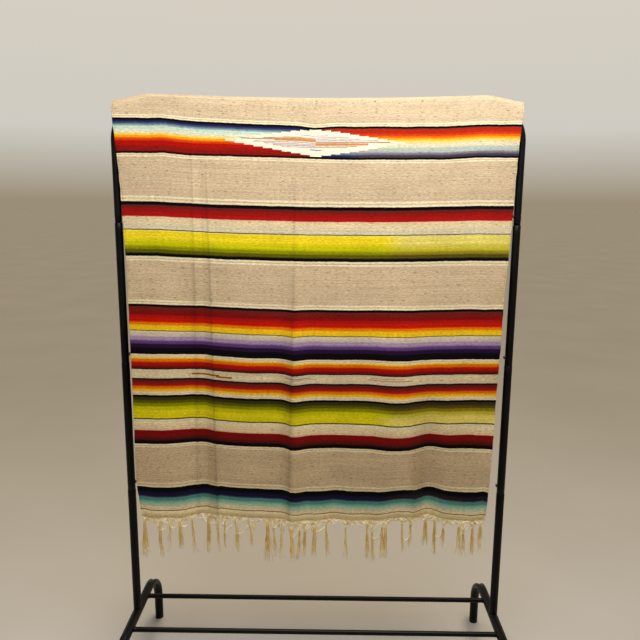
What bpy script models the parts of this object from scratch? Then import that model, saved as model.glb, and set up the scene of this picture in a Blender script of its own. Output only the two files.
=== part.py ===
"""Mexican serape, one woven panel with a knotted fringe at each end, hung over a tubular garment rack.

Metres, +Z up. The origin is on the floor under the middle of the rack. X runs along the top bar and -Y is
the side that shows more of the cloth. The cloth is one wall over the bar, its fringes hang from narrow
strips parted from its ends, and the rack is made of its separate tubes.
"""
import math

import bmesh
import bpy
import numpy as np
from mathutils import Vector

NAME = "mexican serape on garment rack"
GAP = 0.0003  # clearance between pieces that touch

# Rack tubes
UPRIGHT_X = 0.485  # middle of the rack to the centre of an upright
TOP_RADIUS = 0.00875
UPRIGHT_RADII = {"upper": 0.0095, "middle": 0.0100, "lower": 0.0105}
JOINT_Z = (1.2155, 0.8645, 0.5200)  # tops of the upper, middle and lower upright tubes
BAR_Z = 1.50525  # centre line of the top bar at its ends
BAR_SAG = 0.008
CORNER_RADIUS = 0.096  # centre line of the bent corners
CORNER_STEPS = 8
HALF_BAR_STEPS = 8
END_BEVEL = 0.0008
TUBE_SIDES = 24
THIN_SIDES = 16  # snap buttons, cross bars and the sections of the feet
CUTTER_SIDES = 32

# Snap buttons, one a little above each joint on the inner side
BUTTON_RADIUS = 0.0042
BUTTON_PROUD = 0.0040
BUTTON_ABOVE_JOINT = 0.0215
BUTTON_CROWN = 0.45  # share of the button's radius that its round edge takes

# Side feet, bent tubes that run front to back
FOOT_RADIUS = 0.0120
FOOT_Z = 0.163
FOOT_LEG_Y = 0.207
FOOT_BEND = 0.095
PRESS_WIDEN = 0.13  # the pressed bends are wider across,
PRESS_FLATTEN = 0.20  # flatter along the bend's radius
PRESS_GROOVE = 0.0080  # and grooved along their outside
PRESS_GROOVE_ANGLE = math.radians(25)
PRESS_SHARPNESS = 1.5  # higher keeps the pressing nearer the middle of the bend
BEND_STEPS = 10

# Cross bars between the feet
CROSS_RADIUS = 0.0065
CROSS_Y = 0.0735
CROSS_Z = 0.160
SEAT_OVER = 0.05  # how far a seat's cutter runs past what it shapes, along the foot's rail
BUTTON_SEAT_OVER = 0.01

# Cloth
THICKNESS = 0.0025
BAR_CLEARANCE = 0.0005  # inside of the cloth to the bar
LOOP_RADIUS = TOP_RADIUS + BAR_CLEARANCE + THICKNESS / 2  # middle of the wall
STRAIGHT_HALF = UPRIGHT_X - CORNER_RADIUS  # where the bar begins to bend down
CORNER_REACH = 0.100  # cloth past that point bridges the bent corner,
CORNER_DROP = 0.027  # sinks this far at its edge
CORNER_WIDEN = 0.012  # and opens its loop by this much
CORNER_DROP_FADE = 0.12
CORNER_WIDEN_FADE = 0.24
FRONT_FALL = 1.036  # bar's centre line to the end of the cloth
BACK_FALL = 0.823  # both halves of the cloth are then the same length along the weave
STRIP = 0.008  # width of the strip that carries each fringe

ROWS_LOOP = 8
ROWS_FRONT = 16
ROWS_BACK = 13
ROW_CROWDING = 1.35  # rows lie closer together near the bar
COLUMNS = 46

# Side edges of the cloth: fall below the bar, left edge, right edge
EDGES = (
    (0.00, -0.4810, 0.4780),
    (0.06, -0.4790, 0.4740),
    (0.18, -0.4755, 0.4710),
    (0.25, -0.4735, 0.4705),
    (0.38, -0.4670, 0.4640),
    (0.48, -0.4625, 0.4570),
    (0.63, -0.4595, 0.4520),
    (0.81, -0.4560, 0.4450),
    (0.94, -0.4530, 0.4360),
    (1.04, -0.4430, 0.4300),
)

# Folds of each drop: where across, half width, outward depth, fall where it starts, fall where it is full
FRONT_FOLDS = (
    ("left edge", -0.430, 0.075, 0.014, 0.55, 1.00),
    ("left crease pair", -0.295, 0.050, -0.020, 0.30, 0.65),
    ("middle crease", -0.053, 0.024, 0.018, 0.30, 0.65),
    ("beside the middle", 0.055, 0.030, -0.008, 0.60, 1.00),
    ("right swell", 0.205, 0.060, 0.018, 0.35, 0.75),
    ("right crease", 0.288, 0.034, -0.030, 0.65, 1.00),
    ("right edge", 0.462, 0.045, 0.034, 0.70, 1.05),
)
BACK_FOLDS = (
    ("left edge", -0.440, 0.060, 0.022, 0.40, 0.84),
    ("left crease", -0.270, 0.042, -0.016, 0.25, 0.60),
    ("left swell", -0.160, 0.060, 0.013, 0.35, 0.84),
    ("middle crease", -0.035, 0.026, -0.015, 0.30, 0.65),
    ("right swell", 0.130, 0.055, 0.016, 0.30, 0.80),
    ("right crease", 0.262, 0.036, -0.018, 0.35, 0.75),
    ("right edge", 0.430, 0.050, 0.018, 0.45, 0.84),
)
# Each drop leans out so that its troughs stay clear of the other: depth, start, full
FRONT_LEAN = ((0.021, 0.30, 0.65), (0.012, 0.65, 1.00))
BACK_LEAN = ((0.017, 0.25, 0.60), (0.004, 0.45, 0.84))

# Fringe: places of the tassels along each hem, in millimetres from the middle
FRONT_TASSELS = (
    -437, -399, -374, -350, -321, -280, -254, -234, -202, -165, -123, -88, -61, -31,
    -1, 28, 79, 141, 175, 222, 246, 290, 311, 331, 373, 398, 422,
)
BACK_TASSELS = (
    -447, -419, -391, -352, -322, -297, -252, -217, -190, -151, -118, -92, -50, -21,
    14, 42, 83, 110, 148, 187, 212, 251, 277, 318, 347, 385, 411, 434,
)
CORD_RADIUS = 0.00105
CORD_SPREAD = 0.0085
KNOT_DROP = (0.028, 0.042)
KNOT_RADIUS = 0.0031
TASSEL_RADIUS = 0.0023
TASSEL_DROP = (0.088, 0.116)
TIP_RADIUS = 0.0027
STRAND_APART = 0.0004
END_ROOM = 0.030  # room beside the first and last tassel
SPREAD_SHARE = 0.36  # a cord spreads by this share of the room at most
EDGE_MARGIN = 0.003  # cords keep this far inside the cloth's side edge
CORD_START = 0.002  # below the hem, where a cord turns towards its knot
KNOT_MIDDLE = 0.006  # below the top of the knot
KNOT_END = 0.013
WELD = 0.00001
FRINGE_SEED = 7


def smooth(t):
    """Ease from 0 to 1 as t goes from 0 to 1, flat at both ends."""
    t = np.clip(t, 0.0, 1.0)
    return t * t * (3.0 - 2.0 * t)


def edge_x(share, fall):
    """Place across the cloth for a share from 0 at its left edge to 1 at its right edge."""
    falls, left, right = np.array(EDGES).T
    low = np.interp(fall, falls, left)
    high = np.interp(fall, falls, right)
    return low + (high - low) * share


def past_corner(x):
    """0 over the straight bar, easing to 1 at the outer edge of the cloth."""
    return smooth((np.abs(x) - STRAIGHT_HALF) / CORNER_REACH)


def bar_height(x):
    """Centre line of the bar, which sags between its bent corners, carried on level past them."""
    inside = np.clip(x / STRAIGHT_HALF, -1.0, 1.0)
    return BAR_Z - BAR_SAG * (1.0 - inside * inside)


def outward(x, fall, folds, lean):
    """Distance of a drop from the rack's middle plane: loop radius, lean and the sum of its folds."""
    widen = CORNER_WIDEN * past_corner(x) * (1.0 - smooth(fall / CORNER_WIDEN_FADE))
    total = LOOP_RADIUS + widen
    for depth, start, full in lean:
        total = total + depth * smooth((fall - start) / (full - start))
    for _, across, half_width, depth, start, full in folds:
        ridge = np.exp(-(((x - across) / half_width) ** 2))
        total = total + depth * ridge * smooth((fall - start) / (full - start))
    return total


def drop_point(share, fall, front=True):
    """Middle of the wall on one drop, at a share across and a fall below the bar's centre line."""
    x = edge_x(share, fall)
    folds, lean = (FRONT_FOLDS, FRONT_LEAN) if front else (BACK_FOLDS, BACK_LEAN)
    away = outward(x, fall, folds, lean)
    y = -away if front else away
    z = bar_height(x) - fall - CORNER_DROP * past_corner(x) * (1.0 - smooth(fall / CORNER_DROP_FADE))
    return np.stack([x, y, z], axis=-1)


def loop_point(share, angle):
    """Middle of the wall over the bar, at an angle from 0 in front to pi behind."""
    x = edge_x(share, np.zeros_like(angle))
    radius = LOOP_RADIUS + CORNER_WIDEN * past_corner(x)
    centre = bar_height(x) - CORNER_DROP * past_corner(x)
    return np.stack([x, -radius * np.cos(angle), centre + radius * np.sin(angle)], axis=-1)


def hem_point(x, last_fall, front):
    """Point on the flat facets of a drop's end, at a place across it."""
    line = drop_point(np.linspace(0.0, 1.0, COLUMNS + 1), np.full(COLUMNS + 1, last_fall), front)
    return x, float(np.interp(x, line[:, 0], line[:, 1])), float(np.interp(x, line[:, 0], line[:, 2]))


def falls(last, rows):
    """Falls of the rows of one drop, from the bar's centre line down, closer together near the bar."""
    return last * np.linspace(0.0, 1.0, rows + 1) ** ROW_CROWDING


def remove_everything():
    """Empty the scene."""
    for thing in list(bpy.data.objects):
        bpy.data.objects.remove(thing, do_unlink=True)


def new_collection(name):
    """Collection linked to the scene."""
    collection = bpy.data.collections.new(name)
    bpy.context.scene.collection.children.link(collection)
    return collection


def material(name, colour, roughness, metallic=0.0):
    """Principled material of one colour."""
    made = bpy.data.materials.new(name)
    made.use_nodes = True
    shader = made.node_tree.nodes["Principled BSDF"]
    shader.inputs["Base Color"].default_value = (*colour, 1.0)
    shader.inputs["Roughness"].default_value = roughness
    shader.inputs["Metallic"].default_value = metallic
    return made


def place(mesh, name, collection, paint, smooth_angle=math.radians(35)):
    """Object for a mesh, shaded smooth with its corners kept sharp."""
    thing = bpy.data.objects.new(name, mesh)
    collection.objects.link(thing)
    if paint is not None:
        mesh.materials.append(paint)
    mesh.shade_smooth()
    mesh.set_sharp_from_angle(angle=smooth_angle)
    return thing


def grid_mesh(name, points):
    """Open surface through a grid of points, rows by columns."""
    rows, columns = points.shape[:2]
    index = np.arange(rows * columns).reshape(rows, columns)
    corners = np.stack([index[:-1, :-1], index[:-1, 1:], index[1:, 1:], index[1:, :-1]], axis=-1)
    mesh = bpy.data.meshes.new(name)
    mesh.from_pydata(points.reshape(-1, 3).tolist(), [], corners.reshape(-1, 4).tolist())
    return mesh


def add_wall(thing):
    """Give an open surface the cloth's thickness, half to each side."""
    wall = thing.modifiers.new("wall", "SOLIDIFY")
    wall.thickness = THICKNESS
    wall.offset = 0.0
    wall.use_even_offset = True
    wall.use_rim = True
    return wall


def cut(thing, cutter):
    """Take a cutter away from an object."""
    step = thing.modifiers.new("cut " + cutter.name, "BOOLEAN")
    step.operation = "DIFFERENCE"
    step.solver = "EXACT"
    step.object = cutter


def cylinder(name, radius, start, end, sides, collection, paint, bevel=0.0):
    """Cylinder between two points, with its end corners eased."""
    start = Vector(start)
    end = Vector(end)
    body = bmesh.new()
    turn = (end - start).to_track_quat("Z", "Y").to_matrix().to_4x4()
    bmesh.ops.create_cone(
        body,
        cap_ends=True,
        segments=sides,
        radius1=radius,
        radius2=radius,
        depth=(end - start).length,
        matrix=turn,
    )
    if bevel:
        rims = [edge for edge in body.edges if any(len(face.verts) > 4 for face in edge.link_faces)]
        bmesh.ops.bevel(body, geom=rims, offset=bevel, segments=1, profile=0.5, affect="EDGES")
    mesh = bpy.data.meshes.new(name)
    body.to_mesh(mesh)
    body.free()
    thing = place(mesh, name, collection, paint)
    thing.location = (start + end) / 2
    return thing


def cutting_cylinder(name, radius, start, end, sides, collection):
    """Hidden cylinder whose flats lie at the stated radius."""
    cutter = cylinder(name, radius / math.cos(math.pi / sides), start, end, sides, collection, None)
    cutter.hide_render = True
    cutter.display_type = "WIRE"
    return cutter


def top_frame(collection, paint):
    """Bent tube of the top: two short legs, two corners and the sagging bar."""
    corner_x = UPRIGHT_X - CORNER_RADIUS
    corner_z = BAR_Z - CORNER_RADIUS
    leg = [Vector((-UPRIGHT_X, 0.0, JOINT_Z[0] + GAP)), Vector((-UPRIGHT_X, 0.0, corner_z))]
    bend = []
    for step in range(1, CORNER_STEPS + 1):
        angle = math.pi - step * math.pi / (2 * CORNER_STEPS)
        bend.append(
            Vector(
                (
                    -corner_x + CORNER_RADIUS * math.cos(angle),
                    0.0,
                    corner_z + CORNER_RADIUS * math.sin(angle),
                )
            )
        )
    bar = [Vector((x, 0.0, float(bar_height(x)))) for x in np.linspace(-corner_x, 0.0, HALF_BAR_STEPS + 1)[1:]]
    left = leg + bend + bar
    right = [Vector((-point.x, 0.0, point.z)) for point in reversed(left[:-1])]
    route = left + right
    curve = bpy.data.curves.new("top_frame", "CURVE")
    curve.dimensions = "3D"
    curve.bevel_depth = TOP_RADIUS
    curve.bevel_resolution = 4
    curve.use_fill_caps = True
    spline = curve.splines.new("POLY")
    spline.points.add(len(route) - 1)
    for point, place_at in zip(spline.points, route):
        point.co = (*place_at, 1.0)
    spline.use_smooth = True
    curve.materials.append(paint)
    thing = bpy.data.objects.new("top_frame", curve)
    collection.objects.link(thing)
    return thing


def foot_path():
    """Stations of a foot tube: centre, outward direction across the bend, and how far it is pressed."""
    bend_y = FOOT_LEG_Y - FOOT_BEND
    bend_z = FOOT_Z - FOOT_BEND
    stations = [(-FOOT_LEG_Y, 0.0, math.pi, 0.0)]
    for step in range(BEND_STEPS + 1):
        angle = math.pi - step * math.pi / (2 * BEND_STEPS)
        press = math.sin(math.pi * step / BEND_STEPS) ** PRESS_SHARPNESS
        stations.append(
            (
                -bend_y + FOOT_BEND * math.cos(angle),
                bend_z + FOOT_BEND * math.sin(angle),
                angle,
                press,
            )
        )
    mirrored = [(-y, z, math.pi - angle, press) for y, z, angle, press in reversed(stations)]
    return stations + mirrored


def side_foot(name, x, collection, paint):
    """Inverted U tube from front to back, with pressed and grooved bends, lofted through its sections."""
    body = bmesh.new()
    rings = []
    for y, z, angle, press in foot_path():
        away = Vector((0.0, math.cos(angle), math.sin(angle)))
        ring = []
        for side in range(THIN_SIDES):
            turn = 2 * math.pi * side / THIN_SIDES
            off_crown = math.atan2(math.sin(turn - math.pi / 2), math.cos(turn - math.pi / 2))
            groove = PRESS_GROOVE * press * math.exp(-((off_crown / PRESS_GROOVE_ANGLE) ** 2))
            across = FOOT_RADIUS * (1 + PRESS_WIDEN * press) * math.cos(turn)
            out = FOOT_RADIUS * (1 - PRESS_FLATTEN * press) * math.sin(turn) - groove
            ring.append(body.verts.new(Vector((x + across, y, z)) + away * out))
        rings.append(ring)
    for first, second in zip(rings, rings[1:]):
        for side in range(THIN_SIDES):
            after = (side + 1) % THIN_SIDES
            body.faces.new((first[side], first[after], second[after], second[side]))
    body.faces.new(rings[0])
    body.faces.new(rings[-1])
    bmesh.ops.recalc_face_normals(body, faces=body.faces[:])
    mesh = bpy.data.meshes.new(name)
    body.to_mesh(mesh)
    body.free()
    return place(mesh, name, collection, paint)


def upright(side_name, x, cutters, collection, paint):
    """Three tubes stacked on a foot, the lowest one shaped to sit on it."""
    rail = cutting_cylinder(
        "rail_seat_" + side_name,
        FOOT_RADIUS + GAP,
        (x, -SEAT_OVER, FOOT_Z),
        (x, SEAT_OVER, FOOT_Z),
        CUTTER_SIDES,
        cutters,
    )
    bottoms = (JOINT_Z[1] + GAP, JOINT_Z[2] + GAP, FOOT_Z)
    for (level, radius), top, bottom in zip(UPRIGHT_RADII.items(), JOINT_Z, bottoms):
        name = "upright_" + side_name + "_" + level
        tube = cylinder(
            name, radius, (x, 0.0, bottom), (x, 0.0, top), TUBE_SIDES, collection, paint, END_BEVEL
        )
        if level == "lower":
            cut(tube, rail)


def snap_buttons(side_name, x, cutters, collection, paint):
    """Round buttons that lock the stacked tubes, each shaped to sit on its tube."""
    inward = -math.copysign(1.0, x)
    radii = (TOP_RADIUS, UPRIGHT_RADII["upper"], UPRIGHT_RADII["middle"])
    for level, joint, radius in zip(("upper", "middle", "lower"), JOINT_Z, radii):
        z = joint + BUTTON_ABOVE_JOINT
        name = "snap_button_" + side_name + "_" + level
        tip = x + inward * (radius + BUTTON_PROUD)
        crown = BUTTON_RADIUS * BUTTON_CROWN
        button = cylinder(
            name, BUTTON_RADIUS, (x, 0.0, z), (tip, 0.0, z), THIN_SIDES, collection, paint, crown
        )
        seat = cutting_cylinder(
            "seat_" + name,
            radius + GAP,
            (x, 0.0, z - BUTTON_SEAT_OVER),
            (x, 0.0, z + BUTTON_SEAT_OVER),
            CUTTER_SIDES,
            cutters,
        )
        cut(button, seat)


def cross_bars(cutters, collection, paint):
    """Two thin bars between the feet, coped to the round rails."""
    seats = []
    for side_name, x in (("left", -UPRIGHT_X), ("right", UPRIGHT_X)):
        seats.append(
            cutting_cylinder(
                "bar_seat_" + side_name,
                FOOT_RADIUS + GAP,
                (x, -CROSS_Y - SEAT_OVER, FOOT_Z),
                (x, CROSS_Y + SEAT_OVER, FOOT_Z),
                CUTTER_SIDES,
                cutters,
            )
        )
    for name, y in (("cross_bar_front", -CROSS_Y), ("cross_bar_back", CROSS_Y)):
        start = (-UPRIGHT_X, y, CROSS_Z)
        end = (UPRIGHT_X, y, CROSS_Z)
        bar = cylinder(name, CROSS_RADIUS, start, end, THIN_SIDES, collection, paint)
        for seat in seats:
            cut(bar, seat)


def serape_web(collection, cloth):
    """The woven panel: front drop, loop over the bar and back drop as one wall."""
    share = np.linspace(0.0, 1.0, COLUMNS + 1)[None, :]
    front = falls(FRONT_FALL - STRIP - GAP, ROWS_FRONT)[::-1, None]
    back = falls(BACK_FALL - STRIP - GAP, ROWS_BACK)[:, None]
    angles = np.linspace(0.0, math.pi, ROWS_LOOP + 1)[1:-1, None]
    rows = [
        drop_point(share, front, True),
        loop_point(share, angles),
        drop_point(share, back, False),
    ]
    surface = grid_mesh("serape_web", np.concatenate(rows, axis=0))
    thing = place(surface, "serape_web", collection, cloth, math.radians(60))
    add_wall(thing)
    return thing


def fringe_strands(name, tassels, last_fall, front):
    """Mesh of the hanging strands: two cords to each tassel, side by side from the knot down."""
    rng = np.random.default_rng(FRINGE_SEED + int(front))
    across = np.array(tassels) / 1000.0
    before = np.diff(across, prepend=across[0] - END_ROOM)
    after = np.diff(across, append=across[-1] + END_ROOM)
    reach = np.minimum(before, after)
    curve = bpy.data.curves.new(name, "CURVE")
    curve.dimensions = "3D"
    curve.bevel_depth = 1.0
    curve.bevel_resolution = 0
    curve.use_fill_caps = True
    for x, room in zip(across, reach):
        hem = hem_point(x, last_fall, front)
        spread = min(CORD_SPREAD, SPREAD_SHARE * room)
        knot = rng.uniform(*KNOT_DROP)
        tip = rng.uniform(*TASSEL_DROP)
        for side in (-1, 1):
            root_x = x + side * spread
            edge = edge_x(0.0 if side < 0 else 1.0, last_fall) - side * EDGE_MARGIN
            root_x = max(root_x, edge) if side < 0 else min(root_x, edge)
            root = hem_point(root_x, last_fall, front)
            stations = (
                (root[0], root[1], root[2] + STRIP / 2, CORD_RADIUS),
                (root[0], root[1], root[2] - CORD_START, CORD_RADIUS),
                (None, hem[1], hem[2] - knot, TASSEL_RADIUS),
                (None, hem[1], hem[2] - knot - KNOT_MIDDLE, KNOT_RADIUS),
                (None, hem[1], hem[2] - knot - KNOT_END, TASSEL_RADIUS),
                (None, hem[1], hem[2] - tip, TIP_RADIUS),
            )
            spline = curve.splines.new("POLY")
            spline.points.add(len(stations) - 1)
            for point, (px, py, pz, radius) in zip(spline.points, stations):
                beside = x + side * (radius + STRAND_APART / 2)
                point.co = (beside if px is None else px, py, pz, 1.0)
                point.radius = radius
    thing = bpy.data.objects.new(name, curve)
    bpy.context.scene.collection.objects.link(thing)
    made = bpy.data.meshes.new_from_object(thing.evaluated_get(bpy.context.evaluated_depsgraph_get()))
    bpy.data.objects.remove(thing)
    weld = bmesh.new()
    weld.from_mesh(made)
    bmesh.ops.remove_doubles(weld, verts=weld.verts[:], dist=WELD)
    bmesh.ops.recalc_face_normals(weld, faces=weld.faces[:])
    weld.to_mesh(made)
    weld.free()
    return made


def fringe(name, tassels, last_fall, front, cutters, collection, cord):
    """Narrow strip along one end of the cloth with its fringe of knotted strands fused to it."""
    share = np.linspace(0.0, 1.0, COLUMNS + 1)[None, :]
    across_strip = np.array([last_fall - STRIP, last_fall])[:, None]
    if front:
        across_strip = across_strip[::-1]
    strip = place(
        grid_mesh(name, drop_point(share, across_strip, front)), name, collection, cord, math.radians(60)
    )
    add_wall(strip)
    strands = place(
        fringe_strands(name + "_strands", tassels, last_fall, front), name + "_strands", cutters, None
    )
    strands.hide_render = True
    strands.display_type = "WIRE"
    join = strip.modifiers.new("strands", "BOOLEAN")
    join.operation = "UNION"
    join.solver = "EXACT"
    join.object = strands
    return strip


def build():
    """Make every piece."""
    remove_everything()
    parts = new_collection(NAME)
    cutters = new_collection("cutters")

    paint = {}
    for piece in ("top frame", "upright", "snap button", "side foot", "cross bar"):
        paint[piece] = material(piece + " black gloss paint", (0.012, 0.012, 0.012), 0.28)
    wool = material("woven wool and cotton web", (0.62, 0.50, 0.34), 0.92)
    cord = material("golden cotton warp fringe", (0.66, 0.50, 0.22), 0.88)

    top_frame(parts, paint["top frame"])
    for side_name, x in (("left", -UPRIGHT_X), ("right", UPRIGHT_X)):
        side_foot("side_foot_" + side_name, x, parts, paint["side foot"])
        upright(side_name, x, cutters, parts, paint["upright"])
        snap_buttons(side_name, x, cutters, parts, paint["snap button"])
    cross_bars(cutters, parts, paint["cross bar"])

    serape_web(parts, wool)
    fringe("fringe_front", FRONT_TASSELS, FRONT_FALL, True, cutters, parts, cord)
    fringe("fringe_back", BACK_TASSELS, BACK_FALL, False, cutters, parts, cord)


build()
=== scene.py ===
"""Mexican serape with a knotted fringe, hung over the top bar of a black tubular garment rack.

Metres, +Z up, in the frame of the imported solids. The blanket is one weft-faced web. It is drawn as a thin
closed shell over the bar, with a map whose V is the distance along the warp from the middle of its length,
so that a weaver's chart of yarns and widths colours it. The fringe and the rack's tubes are finer pieces
that stand for their solids.
"""
import math

import bpy
import numpy as np
from mathutils import Matrix, Vector


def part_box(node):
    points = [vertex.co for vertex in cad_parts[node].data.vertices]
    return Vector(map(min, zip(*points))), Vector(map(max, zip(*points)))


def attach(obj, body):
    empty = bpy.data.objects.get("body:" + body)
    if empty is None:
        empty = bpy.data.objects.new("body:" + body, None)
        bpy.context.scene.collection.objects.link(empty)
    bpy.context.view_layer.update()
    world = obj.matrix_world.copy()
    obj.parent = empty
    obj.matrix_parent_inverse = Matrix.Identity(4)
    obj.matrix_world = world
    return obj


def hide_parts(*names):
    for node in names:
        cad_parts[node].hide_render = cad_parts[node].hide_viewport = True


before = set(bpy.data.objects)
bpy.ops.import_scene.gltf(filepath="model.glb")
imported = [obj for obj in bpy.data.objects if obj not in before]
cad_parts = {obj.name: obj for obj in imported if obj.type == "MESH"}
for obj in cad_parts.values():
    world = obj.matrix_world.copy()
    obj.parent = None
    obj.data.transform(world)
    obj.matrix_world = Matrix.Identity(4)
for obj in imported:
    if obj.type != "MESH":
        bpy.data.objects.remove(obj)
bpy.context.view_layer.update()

MM = 0.001
BODY = "root"

# Rack, read from its solids
UPRIGHT_X = sum(corner.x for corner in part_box("upright_right_lower")) / 2
LEVELS = ("upper", "middle", "lower")
TUBE_RADII = {
    level: (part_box("upright_right_" + level)[1].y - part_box("upright_right_" + level)[0].y) / 2
    for level in LEVELS
}
JOINT_Z = {level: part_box("upright_right_" + level)[1].z for level in LEVELS}
TOP_RADIUS = 8.75 * MM
BAR_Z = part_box("top_frame")[1].z - TOP_RADIUS
BAR_SAG = 8 * MM
CORNER_RADIUS = 96 * MM
GAP = 0.3 * MM
FOOT_RADIUS = 12 * MM
FOOT_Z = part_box("side_foot_right")[1].z - FOOT_RADIUS
FOOT_LEG_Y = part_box("side_foot_right")[1].y - FOOT_RADIUS
FOOT_BEND = 95 * MM
PRESS_WIDEN = 0.13
PRESS_FLATTEN = 0.20
PRESS_GROOVE = 8 * MM
PRESS_GROOVE_ANGLE = math.radians(25)
PRESS_SHARPNESS = 1.5
BUTTON_RADIUS = 4.2 * MM
BUTTON_PROUD = 4.0 * MM
BUTTON_ABOVE_JOINT = 21.5 * MM

# Blanket: its outline and how it hangs
WEB_THICKNESS = 2.2 * MM
LOOP_RADIUS = 10.5 * MM
STRAIGHT_HALF = UPRIGHT_X - CORNER_RADIUS
CORNER_REACH = 0.100
CORNER_DROP = 0.027
CORNER_WIDEN = 0.012
CORNER_DROP_FADE = 0.12
CORNER_WIDEN_FADE = 0.24
FRONT_FALL = 1.036
BACK_FALL = 0.823
TOP_LEFT = -0.481
TOP_RIGHT = 0.478

# Side edges of the web: fall below the bar, left edge, right edge
EDGES = (
    (0.00, -0.4810, 0.4780), (0.06, -0.4785, 0.4740), (0.18, -0.4730, 0.4710), (0.25, -0.4712, 0.4700),
    (0.38, -0.4662, 0.4642), (0.48, -0.4625, 0.4570), (0.63, -0.4600, 0.4520), (0.81, -0.4560, 0.4450),
    (0.94, -0.4535, 0.4360), (1.04, -0.4430, 0.4300),
)

# Folds of each drop: where across, half width, outward depth, fall where it starts, fall where it is full
FRONT_FOLDS = (
    ("left edge", -0.430, 0.075, 0.014, 0.55, 1.00),
    ("left crease pair", -0.295, 0.050, -0.020, 0.30, 0.65),
    ("middle crease", -0.053, 0.024, 0.018, 0.30, 0.65),
    ("beside the middle", 0.055, 0.030, -0.008, 0.60, 1.00),
    ("right swell", 0.205, 0.060, 0.018, 0.35, 0.75),
    ("right crease", 0.288, 0.034, -0.030, 0.65, 1.00),
    ("right edge", 0.462, 0.045, 0.034, 0.70, 1.05),
)
BACK_FOLDS = (
    ("left edge", -0.440, 0.060, 0.022, 0.40, 0.84),
    ("left crease", -0.270, 0.042, -0.016, 0.25, 0.60),
    ("left swell", -0.160, 0.060, 0.013, 0.35, 0.84),
    ("middle crease", -0.035, 0.026, -0.015, 0.30, 0.65),
    ("right swell", 0.130, 0.055, 0.016, 0.30, 0.80),
    ("right crease", 0.262, 0.036, -0.018, 0.35, 0.75),
    ("right edge", 0.430, 0.050, 0.018, 0.45, 0.84),
)
FRONT_LEAN = ((0.021, 0.30, 0.65), (0.012, 0.65, 1.00))
BACK_LEAN = ((0.017, 0.25, 0.60), (0.004, 0.45, 0.84))

# Creases from storage: place across at the top and at the hem, half width, height, start fall, full fall
FRONT_CREASES = (
    ("pair, left", -0.2965, -0.3030, 0.0060, 0.0032, 0.06, 0.22),
    ("pair, right", -0.2670, -0.2500, 0.0060, 0.0036, 0.06, 0.30),
    ("between the pair", -0.2820, -0.2770, 0.0080, -0.0016, 0.08, 0.40),
    ("middle", -0.0460, -0.0640, 0.0060, 0.0040, 0.10, 0.26),
    ("left of the middle", -0.1700, -0.1820, 0.0200, -0.0016, 0.40, 0.90),
    ("right of the middle", 0.0700, 0.0620, 0.0160, 0.0012, 0.20, 0.60),
    ("right", 0.2030, 0.2400, 0.0140, 0.0034, 0.28, 0.80),
    ("right, second", 0.3350, 0.3280, 0.0140, 0.0020, 0.40, 0.85),
    ("far right", 0.4150, 0.4060, 0.0110, 0.0018, 0.10, 0.22),
)
BACK_CREASES = (
    ("pair, left", -0.3120, -0.3180, 0.0060, 0.0030, 0.06, 0.24),
    ("pair, right", -0.2780, -0.2660, 0.0070, 0.0034, 0.06, 0.35),
    ("middle", -0.0420, -0.0500, 0.0060, 0.0038, 0.08, 0.26),
    ("right", 0.2350, 0.2240, 0.0120, 0.0028, 0.18, 0.60),
    ("far right", 0.3900, 0.3960, 0.0120, 0.0018, 0.14, 0.50),
)
# Columns of the shell stand closer beside a crease: how much closer, and how far to each side
CREASE_CROWDING = 1.8
CREASE_REACH = 0.014
# Painted shade along the sharp creases: the web's colour darkened in the fold lines
CREASE_SHADE_WIDTH = 0.0068
CREASE_SHADE_FULL_HEIGHT = 0.0034
SHARP_HALF_WIDTH = 0.0070
# Slack between the folds: length of a ripple across, its drift along the fall, height, start fall, full fall
RIPPLES = (
    (0.190, 0.35, 0.0011, 0.10, 0.50),
    (0.117, -0.60, 0.0009, 0.25, 0.70),
    (0.071, 0.90, 0.0007, 0.50, 0.95),
    (0.083, 0.30, 0.0019, 0.90, 1.03),
)

# Where the front hem is drawn up or hangs lower: place across, height in millimetres
HEM_LIFTS = (
    (-0.440, 2.0), (-0.420, 0.0), (-0.395, -2.5), (-0.370, -6.0), (-0.344, -6.0), (-0.319, -4.5),
    (-0.294, -2.5), (-0.268, 0.0), (-0.243, 4.5), (-0.218, 2.0), (-0.180, 2.0), (-0.117, 0.0),
    (-0.066, 2.5), (-0.036, 0.0), (-0.003, -2.0), (0.048, -2.5), (0.086, -1.5), (0.126, -1.0), (0.157, 3.0),
    (0.190, 12.0), (0.209, 15.0), (0.225, 15.0), (0.240, 12.0), (0.257, 1.5), (0.273, -3.0), (0.288, -2.0),
    (0.305, 0.5), (0.321, 1.0), (0.336, -0.5), (0.369, -5.0), (0.384, -6.0), (0.401, -4.0), (0.427, 6.0),
)
LIFT_START = 0.80
LIFT_FULL = 1.03

# Pattern: where the middle of the blanket's length lies, and how the wefts slope and wander
MID_FALL = 0.0900
WEFT_SLOPE = 0.0065
LEFT_RISE = 0.0049
TIP_DIP = 0.0050
LOZENGE_U = -0.0040
# These bends of the wefts fade out down the drop: where the fading starts, and over how much fall
BEND_FADE = (0.055, 0.060)
PULL_FADE = (0.130, 0.100)
RISE_FROM = 0.10
RISE_OVER = 0.30
DIP_HALF_WIDTH = 0.030
# How far the middle band is pulled down over the bar, by place across, in millimetres
PULLS = (
    (-0.480, 0.7), (-0.400, 0.3), (-0.368, -2.0), (-0.330, 0.3), (-0.290, 1.2), (-0.220, 0.3),
    (-0.150, -0.6), (-0.050, 0.2), (0.040, 1.2), (0.080, 2.1), (0.230, 2.2), (0.310, 3.4), (0.365, 1.2),
    (0.400, 0.6), (0.475, 1.0),
)


def smooth(t):
    """Ease from 0 to 1 as t goes from 0 to 1, flat at both ends: three t squared less two t cubed."""
    t = np.clip(t, 0.0, 1.0)
    return t * t * (3.0 - 2.0 * t)


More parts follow.
